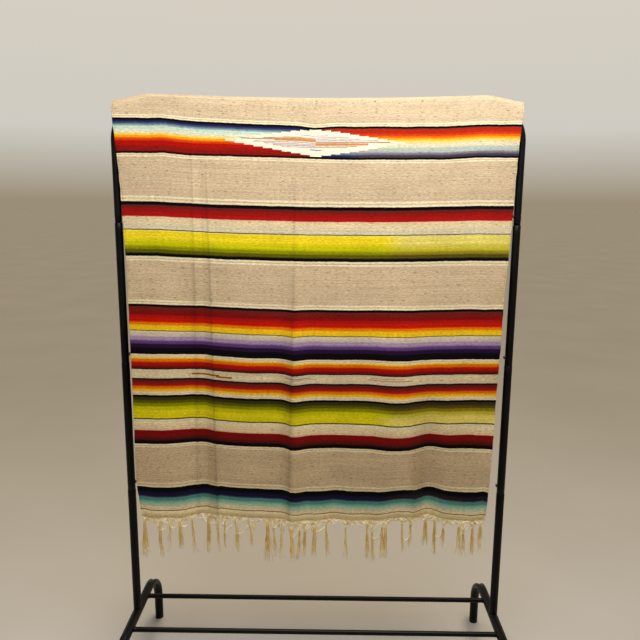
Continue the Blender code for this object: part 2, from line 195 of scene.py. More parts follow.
def linear(hex_colour):
    """sRGB hex turned to linear red, green and blue with an alpha of one."""
    parts = [int(hex_colour[i : i + 2], 16) / 255.0 for i in (1, 3, 5)]
    return tuple(c / 12.92 if c <= 0.04045 else ((c + 0.055) / 1.055) ** 2.4 for c in parts) + (1.0,)


# Blanket surface


def edge_x(share, fall):
    """Place across for a share from 0 at the left edge to 1 at the right, between the two edge lines."""
    falls, left, right = np.array(EDGES).T
    low = np.interp(fall, falls, left)
    high = np.interp(fall, falls, right)
    return low + (high - low) * share


def past_corner(x):
    """0 over the straight bar, easing to 1 at the outer edge of the cloth."""
    return smooth((np.abs(x) - STRAIGHT_HALF) / CORNER_REACH)


def bar_height(x):
    """Centre line of the bar: a parabola that sags between the bent corners, level past them."""
    inside = np.clip(x / STRAIGHT_HALF, -1.0, 1.0)
    return BAR_Z - BAR_SAG * (1.0 - inside * inside)


def outward(x, fall, front):
    """Distance of a drop from the rack's middle plane.

    The loop's radius, the lean and the bell-shaped folds add up, then the storage creases, which are
    peaks that fall off exponentially to both sides, and the ripples, which are slow sine waves.
    """
    folds, lean, creases = (
        (FRONT_FOLDS, FRONT_LEAN, FRONT_CREASES) if front else (BACK_FOLDS, BACK_LEAN, BACK_CREASES)
    )
    total = LOOP_RADIUS + CORNER_WIDEN * past_corner(x) * (1.0 - smooth(fall / CORNER_WIDEN_FADE))
    for depth, start, full in lean:
        total = total + depth * smooth((fall - start) / (full - start))
    for _, across, half_width, depth, start, full in folds:
        ridge = np.exp(-(((x - across) / half_width) ** 2))
        total = total + depth * ridge * smooth((fall - start) / (full - start))
    for _, high, low, half_width, depth, start, full in creases:
        line = high + (low - high) * fall
        ridge = np.exp(-np.abs(x - line) / half_width)
        total = total + depth * ridge * smooth((fall - start) / (full - start))
    for length, drift, height, start, full in RIPPLES:
        wave = np.sin(2.0 * np.pi * (x / length + drift * fall))
        total = total + height * wave * smooth((fall - start) / (full - start))
    return total


def drop_point(share, fall, front):
    """Middle of the web on one drop: edge lines across, the bar's height less the fall, and outward."""
    x = edge_x(share, fall)
    away = outward(x, fall, front)
    z = bar_height(x) - fall - CORNER_DROP * past_corner(x) * (1.0 - smooth(fall / CORNER_DROP_FADE))
    return np.stack([x, -away if front else away, z], axis=-1)


def hem_lift(x, fall):
    """Height by which the front drop is drawn up near its hem: the table's value, eased in down the drop."""
    places, lifts = np.array(HEM_LIFTS).T
    return np.interp(x, places, lifts) * MM * smooth((fall - LIFT_START) / (LIFT_FULL - LIFT_START))


def loop_point(share, angle):
    """Middle of the web over the bar: a half circle round the bar's line, wider past its bent corners."""
    x = edge_x(share, np.zeros_like(angle))
    radius = LOOP_RADIUS + CORNER_WIDEN * past_corner(x)
    centre = bar_height(x) - CORNER_DROP * past_corner(x)
    return np.stack([x, -radius * np.cos(angle), centre + radius * np.sin(angle)], axis=-1)


def warp_place(points, angle):
    """Distance along the warp from the middle of the length, for rows at an angle over the bar.

    It is the fall below the bar in front, runs back over the bar with the angle, and is less by the
    fall behind. The middle's own fall, the wefts' slope and their pull round the lozenge come off it.
    """
    x = points[..., 0]
    fall = bar_height(x) - points[..., 2]
    sunk = CORNER_DROP * past_corner(x)
    over = sunk - angle / np.pi * (np.pi * LOOP_RADIUS + 2.0 * sunk)
    along = np.where(angle <= 0.0, fall, np.where(angle >= np.pi, -np.pi * LOOP_RADIUS - fall, over))
    near = 1.0 - smooth((fall - BEND_FADE[0]) / BEND_FADE[1])
    rise = LEFT_RISE * smooth((-x - RISE_FROM) / RISE_OVER) * near
    dip = TIP_DIP * np.exp(-(((x - LOZENGE_U) / DIP_HALF_WIDTH) ** 2)) * near
    places, down = np.array(PULLS).T
    pulled = np.interp(x, places, down) * MM * (1.0 - smooth((fall - PULL_FADE[0]) / PULL_FADE[1]))
    pulls = np.where(angle <= 0.0, rise - dip - pulled, 0.0)
    return along - MID_FALL - WEFT_SLOPE * x + pulls


def web_rows(front_rows, loop_rows, back_rows):
    """Fall and angle of every row of the web, from the front hem over the bar to the back hem."""
    front = FRONT_FALL * np.linspace(1.0, 0.0, front_rows)
    back = BACK_FALL * np.linspace(0.0, 1.0, back_rows)
    angles = np.linspace(0.0, np.pi, loop_rows + 2)[1:-1]
    fall = np.concatenate([front, np.zeros(loop_rows), back])
    angle = np.concatenate([np.zeros(front_rows), angles, np.full(back_rows, np.pi)])
    return fall[:, None], angle[:, None]


def column_shares(columns):
    """Shares across, closer together at the creases: equal parts of the area under a density curve."""
    even = np.linspace(0.0, 1.0, 2000)
    x = TOP_LEFT + (TOP_RIGHT - TOP_LEFT) * even
    density = np.ones_like(x)
    for _, high, low, *_ in FRONT_CREASES + BACK_CREASES:
        density += CREASE_CROWDING * np.exp(-(((x - (high + low) / 2) / CREASE_REACH) ** 2))
    area = density.cumsum() - density[0]
    return np.interp(np.linspace(0.0, 1.0, columns), area / area[-1], even)


def painted_crease_shade(points, fall, front):
    """Painted shade along the sharp storage creases, from 0 to 1: bells across each line, by its height."""
    x = points[..., 0]
    total = np.zeros_like(x)
    for _, high, low, half_width, height, start, full in FRONT_CREASES if front else BACK_CREASES:
        if half_width > SHARP_HALF_WIDTH:
            continue
        off = x - high - (low - high) * fall
        bell = np.exp(-((off / CREASE_SHADE_WIDTH) ** 2)) * smooth((fall - start + 0.04) / (full - start + 0.35))
        total += bell * np.clip(np.abs(height) / CREASE_SHADE_FULL_HEIGHT, 0.0, 1.0) ** 2
    return np.clip(total, 0.0, 1.0)


def web_grid(front_rows=64, loop_rows=12, back_rows=54, columns=360):
    """Points of the middle of the web, their map and their painted crease shade, on a grid of rows and
    columns.
    """
    fall, angle = web_rows(front_rows, loop_rows, back_rows)
    share = column_shares(columns)[None, :]
    ahead = drop_point(share, fall, True)
    behind = drop_point(share, fall, False)
    over = loop_point(share, angle)
    side = angle[..., None]
    points = np.where(side <= 0.0, ahead, np.where(side >= np.pi, behind, over))
    # Painted shade: darkening of the web along the sharp creases, for each point
    wear_and_shade = np.where(angle <= 0.0, painted_crease_shade(points, fall, True), painted_crease_shade(points, fall, False))
    across = TOP_LEFT + (TOP_RIGHT - TOP_LEFT) * share + np.zeros_like(fall)
    along = warp_place(points, angle + np.zeros_like(share))
    points[..., 2] += np.where(angle <= 0.0, hem_lift(points[..., 0], fall), 0.0)
    return points, np.stack([across, along], axis=-1), wear_and_shade


def normals_of(points):
    """Outward unit normals of a grid of points: the step across crossed with the step along."""
    normal = np.cross(np.gradient(points, axis=1), np.gradient(points, axis=0))
    return normal / np.linalg.norm(normal, axis=-1, keepdims=True)


# Meshes from arrays


def make_piece(name, points, quads, triangles, finish, mapping, tint=None, stands_for=None):
    """Mesh object from arrays of points, four-sided and three-sided faces, with a map for each point."""
    mesh = bpy.data.meshes.new(name)
    corners = np.concatenate([quads.reshape(-1), triangles.reshape(-1)]).astype(np.int32)
    sizes = np.concatenate([np.full(len(quads), 4), np.full(len(triangles), 3)])
    starts = np.concatenate([[0], np.cumsum(sizes)[:-1]]).astype(np.int32)
    mesh.vertices.add(len(points))
    mesh.vertices.foreach_set("co", points.astype(np.float32).reshape(-1))
    mesh.loops.add(len(corners))
    mesh.loops.foreach_set("vertex_index", corners)
    mesh.polygons.add(len(sizes))
    mesh.polygons.foreach_set("loop_start", starts)
    mesh.update(calc_edges=True)
    layer = mesh.uv_layers.new(name="weave")
    layer.data.foreach_set("uv", mapping[corners].astype(np.float32).reshape(-1))
    if tint is not None:
        shade = mesh.attributes.new("tint", "FLOAT", "POINT")
        shade.data.foreach_set("value", tint.astype(np.float32))
    mesh.validate()
    mesh.shade_smooth()
    mesh.materials.append(finish)
    thing = bpy.data.objects.new(name, mesh)
    bpy.context.scene.collection.objects.link(thing)
    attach(thing, BODY)
    if stands_for:
        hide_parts(stands_for)
    return thing


def shell(points, mapping, thickness):
    """Closed thin shell: a grid moved half the thickness to each side along its normals, with rims."""
    rows, columns = points.shape[:2]
    normal = normals_of(points)
    outer = np.arange(rows * columns).reshape(rows, columns)
    inner = outer + rows * columns

    def sheet(index):
        """Faces of one side, row by row."""
        corners = [index[:-1, :-1], index[:-1, 1:], index[1:, 1:], index[1:, :-1]]
        return np.stack(corners, axis=-1).reshape(-1, 4)

    def rim(first, second):
        """Faces between two matching border lines."""
        return np.stack([first[:-1], second[:-1], second[1:], first[1:]], axis=-1)

    quads = np.concatenate(
        [
            sheet(outer),
            sheet(inner)[:, ::-1],
            rim(outer[0], inner[0]),
            rim(outer[-1][::-1], inner[-1][::-1]),
            rim(outer[::-1, 0], inner[::-1, 0]),
            rim(outer[:, -1], inner[:, -1]),
        ]
    )
    both = np.concatenate([points + normal * thickness / 2, points - normal * thickness / 2])
    return both.reshape(-1, 3), quads, np.tile(mapping.reshape(-1, 2), (2, 1))


def tubes(paths, radii, sides, reference, squash=None):
    """Closed tubes carried along many paths at once.

    paths is tubes by stations by three, radii is tubes by stations. A ring at each station stands square
    to the path, turned from the reference direction, and each end is closed by a point at its middle.
    """
    count, stations = radii.shape
    ahead = np.gradient(paths, axis=1)
    ahead /= np.linalg.norm(ahead, axis=-1, keepdims=True)
    side = np.cross(np.broadcast_to(np.array(reference, float), ahead.shape), ahead)
    side /= np.linalg.norm(side, axis=-1, keepdims=True)
    upward = np.cross(ahead, side)
    turn = 2.0 * np.pi * np.arange(sides) / sides
    across = radii[..., None] * np.cos(turn)
    out = radii[..., None] * np.sin(turn)
    if squash is not None:
        across, out = squash(across, out, turn)
    rings = across[..., None] * side[:, :, None, :] + out[..., None] * upward[:, :, None, :]
    rings += paths[:, :, None, :]
    poles = paths[:, [0, -1], :]
    points = np.concatenate([rings.reshape(count, -1, 3), poles], axis=1)
    each = stations * sides + 2
    index = np.arange(stations * sides).reshape(stations, sides)
    after = np.roll(index, -1, axis=1)
    quads = np.stack([index[:-1], after[:-1], after[1:], index[1:]], axis=-1).reshape(-1, 4)
    start = np.stack([np.full(sides, each - 2), after[0], index[0]], axis=-1)
    end = np.stack([np.full(sides, each - 1), index[-1], after[-1]], axis=-1)
    offset = (each * np.arange(count))[:, None, None]
    quads = (quads[None] + offset).reshape(-1, 4)
    triangles = (np.concatenate([start, end])[None] + offset).reshape(-1, 3)
    length = np.linalg.norm(np.diff(paths, axis=1), axis=-1).cumsum(axis=1)
    along = np.concatenate([np.zeros((count, 1)), length], axis=1)
    round_it = np.broadcast_to(np.arange(sides) / sides, (count, stations, sides))
    along_it = np.broadcast_to(along[:, :, None], (count, stations, sides))
    ring_map = np.stack([round_it, along_it], axis=-1).reshape(count, -1, 2)
    pole_map = np.stack([np.zeros((count, 2)), along[:, [0, -1]]], axis=-1)
    mapping = np.concatenate([ring_map, pole_map], axis=1)
    return points.reshape(-1, 3), quads, triangles, mapping.reshape(-1, 2)


def join_arrays(batches):
    """One set of arrays from several, each batch being points, quads, triangles, map and tint."""
    points, quads, triangles, mapping, tint = [], [], [], [], []
    offset = 0
    for batch_points, batch_quads, batch_triangles, batch_map, batch_tint in batches:
        points.append(batch_points)
        quads.append(batch_quads + offset)
        triangles.append(batch_triangles + offset)
        mapping.append(batch_map)
        tint.append(np.full(len(batch_points), batch_tint))
        offset += len(batch_points)
    return tuple(np.concatenate(part) for part in (points, quads, triangles, mapping, tint))


# Shader nodes


def node(material, kind, inputs=None, **settings):
    """Add a shader node, set its properties, and set or link its inputs. Returns its first output."""
    tree = material.node_tree
    made = tree.nodes.new("ShaderNode" + kind)
    for key, value in settings.items():
        setattr(made, key, value)
    for key, value in (inputs or {}).items():
        if isinstance(value, bpy.types.NodeSocket):
            tree.links.new(value, made.inputs[key])
        else:
            made.inputs[key].default_value = value
    return made.outputs[0]


def new_finish(name, **sockets):
    """Material with one Principled shader whose own sockets hold the values that are even all over."""
    material = bpy.data.materials.new(name)
    material.use_nodes = True
    shader = material.node_tree.nodes["Principled BSDF"]
    for key, value in sockets.items():
        shader.inputs[key.replace("_", " ")].default_value = value
    return material, shader


def set_stops(colour, *stops):
    """Put stops, each a position and a colour in sRGB hex, on a colour ramp. The first two are its ends."""
    elements = colour.node.color_ramp.elements
    for end, (position, hex_colour) in zip(tuple(elements), stops):
        end.position = position
        end.color = linear(hex_colour)
    for position, hex_colour in stops[2:]:
        elements.new(position).color = linear(hex_colour)


def join_to(material, shader, **links):
    """Link outputs to the shader's sockets."""
    for key, value in links.items():
        material.node_tree.links.new(value, shader.inputs[key.replace("_", " ")])


# Yarns of the blanket, as dyed: sRGB hex
YARNS = {
    "beige": "#C9AF87",
    "beige line": "#CBB38A",
    "cream": "#E7D4A6",
    "lozenge cream": "#F0E0BC",
    "warm cream": "#E2C995",
    "grey cream": "#D6C59E",
    "pink cream": "#E0BA93",
    "grey line": "#A89680",
    "black": "#060505",
    "soft black": "#0E0A09",
    "maroon": "#4E1512",
    "dark red": "#7E0B07",
    "red": "#A8130C",
    "orange red": "#C21400",
    "orange": "#E87405",
    "yellow": "#DDCB12",
    "pale yellow": "#E6CF62",
    "golden yellow": "#EFC016",
    "garnet": "#6A1B15",
    "upper yellow": "#EDD020",
    "madder red": "#99100B",
    "lime": "#C4BF04",
    "green": "#888602",
    "olive": "#5B5706",
    "dark green": "#37350A",
    "navy": "#1A1A3A",
    "grey lilac": "#C9B6A8",
    "lilac": "#A88CA0",
    "purple": "#5E3D74",
    "dark purple": "#271030",
    "near black purple": "#0A050A",
    "indigo": "#191534",
    "brown line": "#7C5A2C",
    "straw": "#E2CE62",
    "pale straw": "#E4D686",
    "ochre": "#8C7C10",
    "umber": "#544812",
    "dark umber": "#3A3010",
    "tan": "#C08450",
    "rust": "#8C5A48",
    "rust orange": "#9C5C0C",
    "rose": "#BC8A72",
    "grey rose": "#8E7C86",
    "straw lime": "#C2B530",
    "violet blue": "#36375E",
    "plum black": "#221A20",
    "plum": "#4A3E50",
    "sea teal": "#4E8B79",
    "mid teal": "#8DBFA8",
    "light teal": "#BCCBA8",
    "slate blue": "#3E4262",
    "grey blue": "#647A82",
    "dull teal": "#839F98",
    "green cream": "#CFD0B4",
    "cream yellow": "#DDD2A6",
    "straw yellow": "#E2C55D",
    "bright yellow": "#EBC433",
    "deep amber": "#EA9410",
    "deep orange": "#DE6402",
    "flame": "#CE3405",
    "brick": "#A40F06",
    "deep brick": "#86110B",
    "red brown": "#7A2A1E",
    "warm red": "#A9230E",
    "right flame": "#CD380D",
    "right orange": "#E26406",
    "right amber": "#EC9E12",
    "grey pale teal": "#B2B89B",
    "grey teal": "#A3AD9E",
    "dusk grey": "#7A6C71",
    "right cream": "#DBCBA8",
    # Paler cream yarn of the web's end, brightened further as painted light against the shade the hem falls
    # in
    "hem cream": "#FFEBB6",
    "dusk violet": "#4E424E",
    "dusk purple": "#3A333B",
}

# Weaver's chart from the lozenge band outwards, the same to both ends: yarn, width in millimetres,
# and how softly it passes into the next one, from 0 for a clean change to 1 for a full blend
FIRST_FIELD = (
    ("cream", 2.8, 0.2), ("beige line", 2.0, 0.4), ("cream", 2.9, 0.2), ("beige", 91.9, 0.0),
    ("cream", 4.6, 0.3), ("beige line", 3.6, 0.4), ("cream", 5.1, 0.0),
)
GREEN_BAND = (
    ("black", 8.3, 0.3), ("garnet", 8.4, 0.6), ("madder red", 9.2, 0.55), ("red", 9.6, 0.1),
    ("pink cream", 3.2, 0.55), ("warm cream", 12.4, 0.5), ("grey cream", 15.0, 0.0),
    ("soft black", 2.0, 0.0), ("pale yellow", 2.0, 0.6), ("upper yellow", 22.5, 0.5), ("lime", 13.5, 0.5),
    ("green", 8.3, 0.4), ("olive", 8.7, 0.4), ("black", 8.5, 0.0),
)
SECOND_FIELD = (
    ("cream", 4.4, 0.2), ("beige line", 2.6, 0.4), ("cream", 4.0, 0.2), ("beige", 95.3, 0.0),
    ("cream", 4.2, 0.3), ("beige line", 2.5, 0.4), ("cream", 4.4, 0.0),
)
PURPLE_BAND = (
    ("black", 6.2, 0.4), ("garnet", 10.3, 0.55), ("dark red", 10.0, 0.55), ("red", 7.5, 0.7),
    ("orange red", 10.4, 0.3), ("orange", 7.0, 0.5), ("golden yellow", 12.9, 0.1), ("soft black", 1.8, 0.0),
    ("grey cream", 6.9, 0.6), ("grey lilac", 6.0, 0.6), ("lilac", 10.0, 0.5), ("purple", 8.7, 0.4),
    ("dark purple", 10.1, 0.4), ("near black purple", 16.1, 0.0),
)
NARROW_BAND = (
    ("cream", 3.0, 0.2), ("pink cream", 2.0, 0.4), ("cream", 3.3, 0.55), ("golden yellow", 3.5, 0.6),
    ("orange", 7.1, 0.6), ("orange red", 5.0, 0.6), ("red", 5.7, 0.6), ("dark red", 3.6, 0.6),
    ("maroon", 3.5, 0.3), ("soft black", 1.8, 0.0),
)
SECOND_NARROW_BAND = (
    ("grey cream", 7.6, 0.2), ("warm cream", 8.0, 0.2), ("grey cream", 7.0, 0.1), ("soft black", 4.5, 0.6),
    ("garnet", 8.6, 0.6), ("red", 7.2, 0.6), ("orange", 7.3, 0.6), ("golden yellow", 6.4, 0.6),
    ("cream", 3.6, 0.2), ("pink cream", 2.0, 0.3), ("cream", 3.2, 0.0),
)
LOWER_GREEN_BAND = (
    ("black", 6.0, 0.4), ("dark green", 8.0, 0.5), ("olive", 7.1, 0.4), ("green", 8.3, 0.5),
    ("lime", 9.0, 0.6), ("yellow", 21.1, 0.1), ("soft black", 2.8, 0.0), ("cream", 13.0, 0.5),
    ("warm cream", 9.6, 0.6), ("pink cream", 5.3, 0.1), ("dark red", 16.4, 0.5), ("maroon", 9.0, 0.6),
    ("black", 9.7, 0.0),
)
THIRD_FIELD = (
    ("cream", 3.0, 0.2), ("beige line", 2.2, 0.4), ("cream", 3.1, 0.2), ("beige", 91.2, 0.0),
    ("cream", 4.4, 0.3), ("beige line", 3.2, 0.4), ("cream", 4.6, 0.0),
)
END_BAND = (
    ("black", 13.5, 0.5), ("indigo", 10.5, 0.3), ("violet blue", 3.0, 0.5), ("sea teal", 10.5, 0.7),
    ("mid teal", 6.5, 0.8), ("light teal", 7.0, 0.8), ("cream", 9.7, 0.1), ("brown line", 2.3, 0.1),
    ("hem cream", 24.8, 0.0),
)
# Lozenge band, read down from its upper black line to its lower one, at its left and at its right end
LOZENGE_LEFT = (
    ("black", 5.0, 0.2), ("navy", 4.4, 0.4), ("slate blue", 3.4, 0.5), ("grey blue", 2.6, 0.6),
    ("dull teal", 2.6, 0.6), ("light teal", 6.0, 0.6), ("green cream", 4.3, 0.6),
    ("cream yellow", 4.7, 0.5), ("straw yellow", 2.2, 0.7), ("bright yellow", 1.9, 0.7),
    ("deep amber", 4.1, 0.5), ("deep orange", 2.4, 0.6), ("flame", 4.3, 0.4), ("brick", 10.7, 0.6),
    ("deep brick", 12.2, 0.3), ("black", 5.2, 0.0),
)
LOZENGE_RIGHT = (
    ("black", 4.8, 0.2), ("red brown", 2.2, 0.5), ("warm red", 10.3, 0.6), ("right flame", 4.7, 0.5),
    ("right orange", 4.4, 0.5), ("right amber", 4.7, 0.6), ("straw yellow", 6.8, 0.7),
    ("right cream", 9.8, 0.6), ("grey pale teal", 6.6, 0.7), ("grey teal", 5.1, 0.7),
    ("dusk grey", 4.7, 0.7), ("dusk violet", 3.0, 0.7), ("dusk purple", 4.1, 0.4), ("black", 4.8, 0.0),
)
# Bluer yarns of the right half beside the lozenge, and the stretch over which they give way
NEARER_YARNS = {
    "grey teal": "dull teal",
    "dusk grey": "grey blue",
    "dusk violet": "slate blue",
    "dusk purple": "navy",
}
NEARER_UNTIL = (60.0, 120.0)
LOZENGE_HALF_HEIGHT = 38.0
# Stepped lozenge: half width of its tallest step, width and drop of each later step, its half height and
# its half width, in millimetres
FIRST_STEP = 14.0
STEP_WIDTH = 22.4
STEP_DROP = 3.3
TALLEST_STEP = 32.6
LOZENGE_HALF_WIDTH = 218.0
# Distance from its middle where its cream starts to yellow towards the tips
TIPS_FROM = 130.0

# Short wefts inside the lozenge: height below its middle, left end, right end and thickness in
# millimetres, yarn
LOZENGE_WEFTS = (
    (-17.5, -34.0, 30.0, 1.8, "lilac"),
    (-13.0, 4.0, 80.0, 1.8, "grey line"),
    (-11.0, -78.0, 0.0, 2.2, "tan"),
    (-9.2, 0.0, 108.0, 1.8, "lilac"),
    (-8.2, -124.0, 0.0, 2.6, "tan"),
    (-5.4, 0.0, 150.0, 2.2, "grey line"),
    (-5.4, -179.0, -96.0, 1.8, "rust"),
    (-4.6, -98.0, 0.0, 4.4, "tan"),
    (-1.6, 0.0, 178.0, 1.9, "rust"),
    (0.4, -148.0, 0.0, 2.2, "grey line"),
    (2.6, 0.0, 126.0, 4.8, "tan"),
    (4.4, -124.0, 0.0, 2.0, "lilac"),
    (6.6, 0.0, 100.0, 2.2, "tan"),
    (7.8, -102.0, 0.0, 2.6, "grey line"),
    (10.6, 0.0, 76.0, 2.0, "grey line"),
    (11.6, -80.0, 0.0, 2.0, "lilac"),
    (17.2, -14.0, 14.0, 2.0, "purple"),
)
# Odd ends of yarn laid in where the weaver ran out, in the field between the narrow bands: distance from
# the middle of the length, left end, right end and thickness in millimetres, yarn
ODD_WEFTS = (
    (574.0, -328.0, -252.0, 4.5, "rust orange"),
    (577.0, -262.0, -218.0, 4.5, "rust orange"),
    (570.5, -76.0, -12.0, 2.2, "grey rose"),
    (574.5, -60.0, 4.0, 1.6, "grey line"),
    (574.0, 138.0, 256.0, 2.8, "rose"),
    (569.0, 146.0, 232.0, 2.0, "rose"),
    (568.0, 370.0, 435.0, 3.4, "pale straw"),
)

# Paler and greyer lots that the weaver took up towards the right: where they start to come in, over how
# many millimetres, and how far that place wanders from row to row
LATER_LOTS = {
    "pale yellow": "pale straw",
    "yellow": "straw",
    "upper yellow": "straw",
    "lime": "straw lime",
    "green": "ochre",
    "olive": "umber",
    "dark green": "dark umber",
    "indigo": "plum black",
    "violet blue": "plum",
}
LOT_U = 196.0
LOT_SPREAD = 70.0
LOT_WANDER = 75.0


def stripe_ramp(material, distance, start, chart):
    """Colour along a stretch of the chart: one ramp from its start, each yarn a level stretch."""
    total = sum(width for _, width, _ in chart)
    place = node(
        material,
        "MapRange",
        {"Value": distance, "From Min": start, "From Max": start + total, "To Min": 0.0, "To Max": 1.0},
    )
    colour = node(material, "ValToRGB", {"Fac": place})
    stops = []
    begin = 0.0
    lead = 0.0
    for yarn, width, blend in chart:
        end = begin + width
        trail = max(blend * width * 0.5, 0.12)
        stops.append((begin + min(lead, width * 0.49), yarn))
        stops.append((end - min(trail, width * 0.49), yarn))
        lead = trail
        begin = end
    stops = [(min(place_mm / total, 1.0), YARNS[yarn]) for place_mm, yarn in stops]
    set_stops(colour, stops[0], stops[-1], *stops[1:-1])
    return colour, start + total


def weft_patch(material, across, along, row, under):
    """Lay one short weft over a colour: a long thin rectangle of yarn."""
    place, left, right, thick, yarn = row
    wide = node(
        material, "Math", {0: across, 1: (left + right) / 2, 2: (right - left) / 2}, operation="COMPARE"
    )
    high = node(material, "Math", {0: along, 1: place, 2: thick / 2}, operation="COMPARE")
    both = node(material, "Math", {0: wide, 1: high}, operation="MULTIPLY")
    return node(material, "MixRGB", {0: both, 1: under, 2: linear(YARNS[yarn])})


def striped_web_colour(material, across, along):
    """Colour of the woven web for a place across and along in millimetres."""
    distance = node(material, "Math", {0: along}, operation="ABSOLUTE")
    start = LOZENGE_HALF_HEIGHT
    colour = None
    for chart in (
        FIRST_FIELD,
        GREEN_BAND,
        SECOND_FIELD,
        PURPLE_BAND,
        NARROW_BAND,
        SECOND_NARROW_BAND,
        LOWER_GREEN_BAND,
        THIRD_FIELD,
        END_BAND,
    ):
        stretch, end = stripe_ramp(material, distance, start, chart)
        if chart in (GREEN_BAND, LOWER_GREEN_BAND, END_BAND):
            other_chart = tuple((LATER_LOTS.get(yarn, yarn), width, soft) for yarn, width, soft in chart)
            other, _ = stripe_ramp(material, distance, start, other_chart)
            lot = later_lot(material, across, along)
            stretch = node(material, "MixRGB", {0: lot, 1: stretch, 2: other})
        if colour is None:
            colour = stretch
        else:
            past = node(material, "Math", {0: distance, 1: start}, operation="GREATER_THAN")
            colour = node(material, "MixRGB", {0: past, 1: colour, 2: stretch})
        start = end
    for row in ODD_WEFTS:
        colour = weft_patch(material, across, along, row, colour)
    return lozenge_band(material, across, along, distance, colour)


def later_lot(material, across, along):
    """1 right of the place where paler yarn was taken up, a few wefts later or sooner in each row."""
    row = node(material, "CombineXYZ", {"X": 0.0, "Y": along, "Z": 0.0})
    ragged = node(material, "TexNoise", {"Vector": row, "Scale": 0.35, "Detail": 1.0}, noise_dimensions="3D")
    shift = node(material, "Math", {0: ragged, 1: LOT_WANDER, 2: across}, operation="MULTIPLY_ADD")
    return node(
        material,
        "MapRange",
        {"Value": shift, "From Min": LOT_U, "From Max": LOT_U + LOT_SPREAD},
        interpolation_type="SMOOTHSTEP",
    )


def lozenge_band(material, across, along, distance, outside):
    """The middle band: yarns shaded one way at the left, the other way at the right, and the lozenge."""
    from_middle = node(material, "Math", {0: across, 1: LOZENGE_U / MM}, operation="SUBTRACT")
    left, _ = stripe_ramp(material, along, -LOZENGE_HALF_HEIGHT, LOZENGE_LEFT)
    right, _ = stripe_ramp(material, along, -LOZENGE_HALF_HEIGHT, LOZENGE_RIGHT)
    nearer_chart = tuple((NEARER_YARNS.get(yarn, yarn), width, soft) for yarn, width, soft in LOZENGE_RIGHT)
    nearer, _ = stripe_ramp(material, along, -LOZENGE_HALF_HEIGHT, nearer_chart)
    further = node(
        material,
        "MapRange",
        {"Value": across, "From Min": NEARER_UNTIL[0], "From Max": NEARER_UNTIL[1]},
        interpolation_type="SMOOTHSTEP",
    )
    right = node(material, "MixRGB", {0: further, 1: nearer, 2: right})
    side = node(material, "Math", {0: from_middle, 1: 0.0}, operation="GREATER_THAN")
    shaded = node(material, "MixRGB", {0: side, 1: left, 2: right})
    aside = node(material, "Math", {0: from_middle}, operation="ABSOLUTE")
    steps = node(
        material,
        "Math",
        {0: aside, 1: 1.0 / STEP_WIDTH, 2: 1.0 - FIRST_STEP / STEP_WIDTH},
        operation="MULTIPLY_ADD",
    )
    steps = node(material, "Math", {0: steps}, operation="FLOOR")
    reach = node(
        material, "Math", {0: steps, 1: -STEP_DROP, 2: TALLEST_STEP}, operation="MULTIPLY_ADD"
    )
    inside = node(material, "Math", {0: distance, 1: reach}, operation="LESS_THAN")
    near = node(material, "Math", {0: aside, 1: LOZENGE_HALF_WIDTH}, operation="LESS_THAN")
    inside = node(material, "Math", {0: inside, 1: near}, operation="MULTIPLY")
    tips = node(material, "MapRange", {"Value": aside, "From Min": TIPS_FROM, "From Max": LOZENGE_HALF_WIDTH})
    cream = node(
        material,
        "MixRGB",
        {0: tips, 1: linear(YARNS["lozenge cream"]), 2: linear(YARNS["cream yellow"])},
    )
    band = node(material, "MixRGB", {0: inside, 1: shaded, 2: cream})
    for row in LOZENGE_WEFTS:
        band = weft_patch(material, from_middle, along, row, band)
    outside_band = node(material, "Math", {0: distance, 1: LOZENGE_HALF_HEIGHT}, operation="GREATER_THAN")
    return node(material, "MixRGB", {0: outside_band, 1: band, 2: outside})


# Unevenness of the weave: name, noise per millimetre across and along the warp, its roughness, the values of
# it that give the darkest and the lightest tone, and these two tones as factors
WEAVE_TONES = (
    ("wefts", 0.110, 0.42, 0.60, 0.32, 0.68, 0.76, 1.19),
    ("mottling", 0.014, 0.030, 0.50, 0.30, 0.70, 0.92, 1.06),
    ("grain", 0.30, 0.60, 0.70, 0.30, 0.70, 0.80, 1.16),
    ("yarns", 0.0022, 0.30, 0.75, 0.30, 0.70, 0.84, 1.14),
)
# Painted shade: how far the web's colour darkens in full along a sharp crease
CREASE_SHADE_TONE = -0.14
RIB_APART = 3.2
WEFT_APART = 1.9


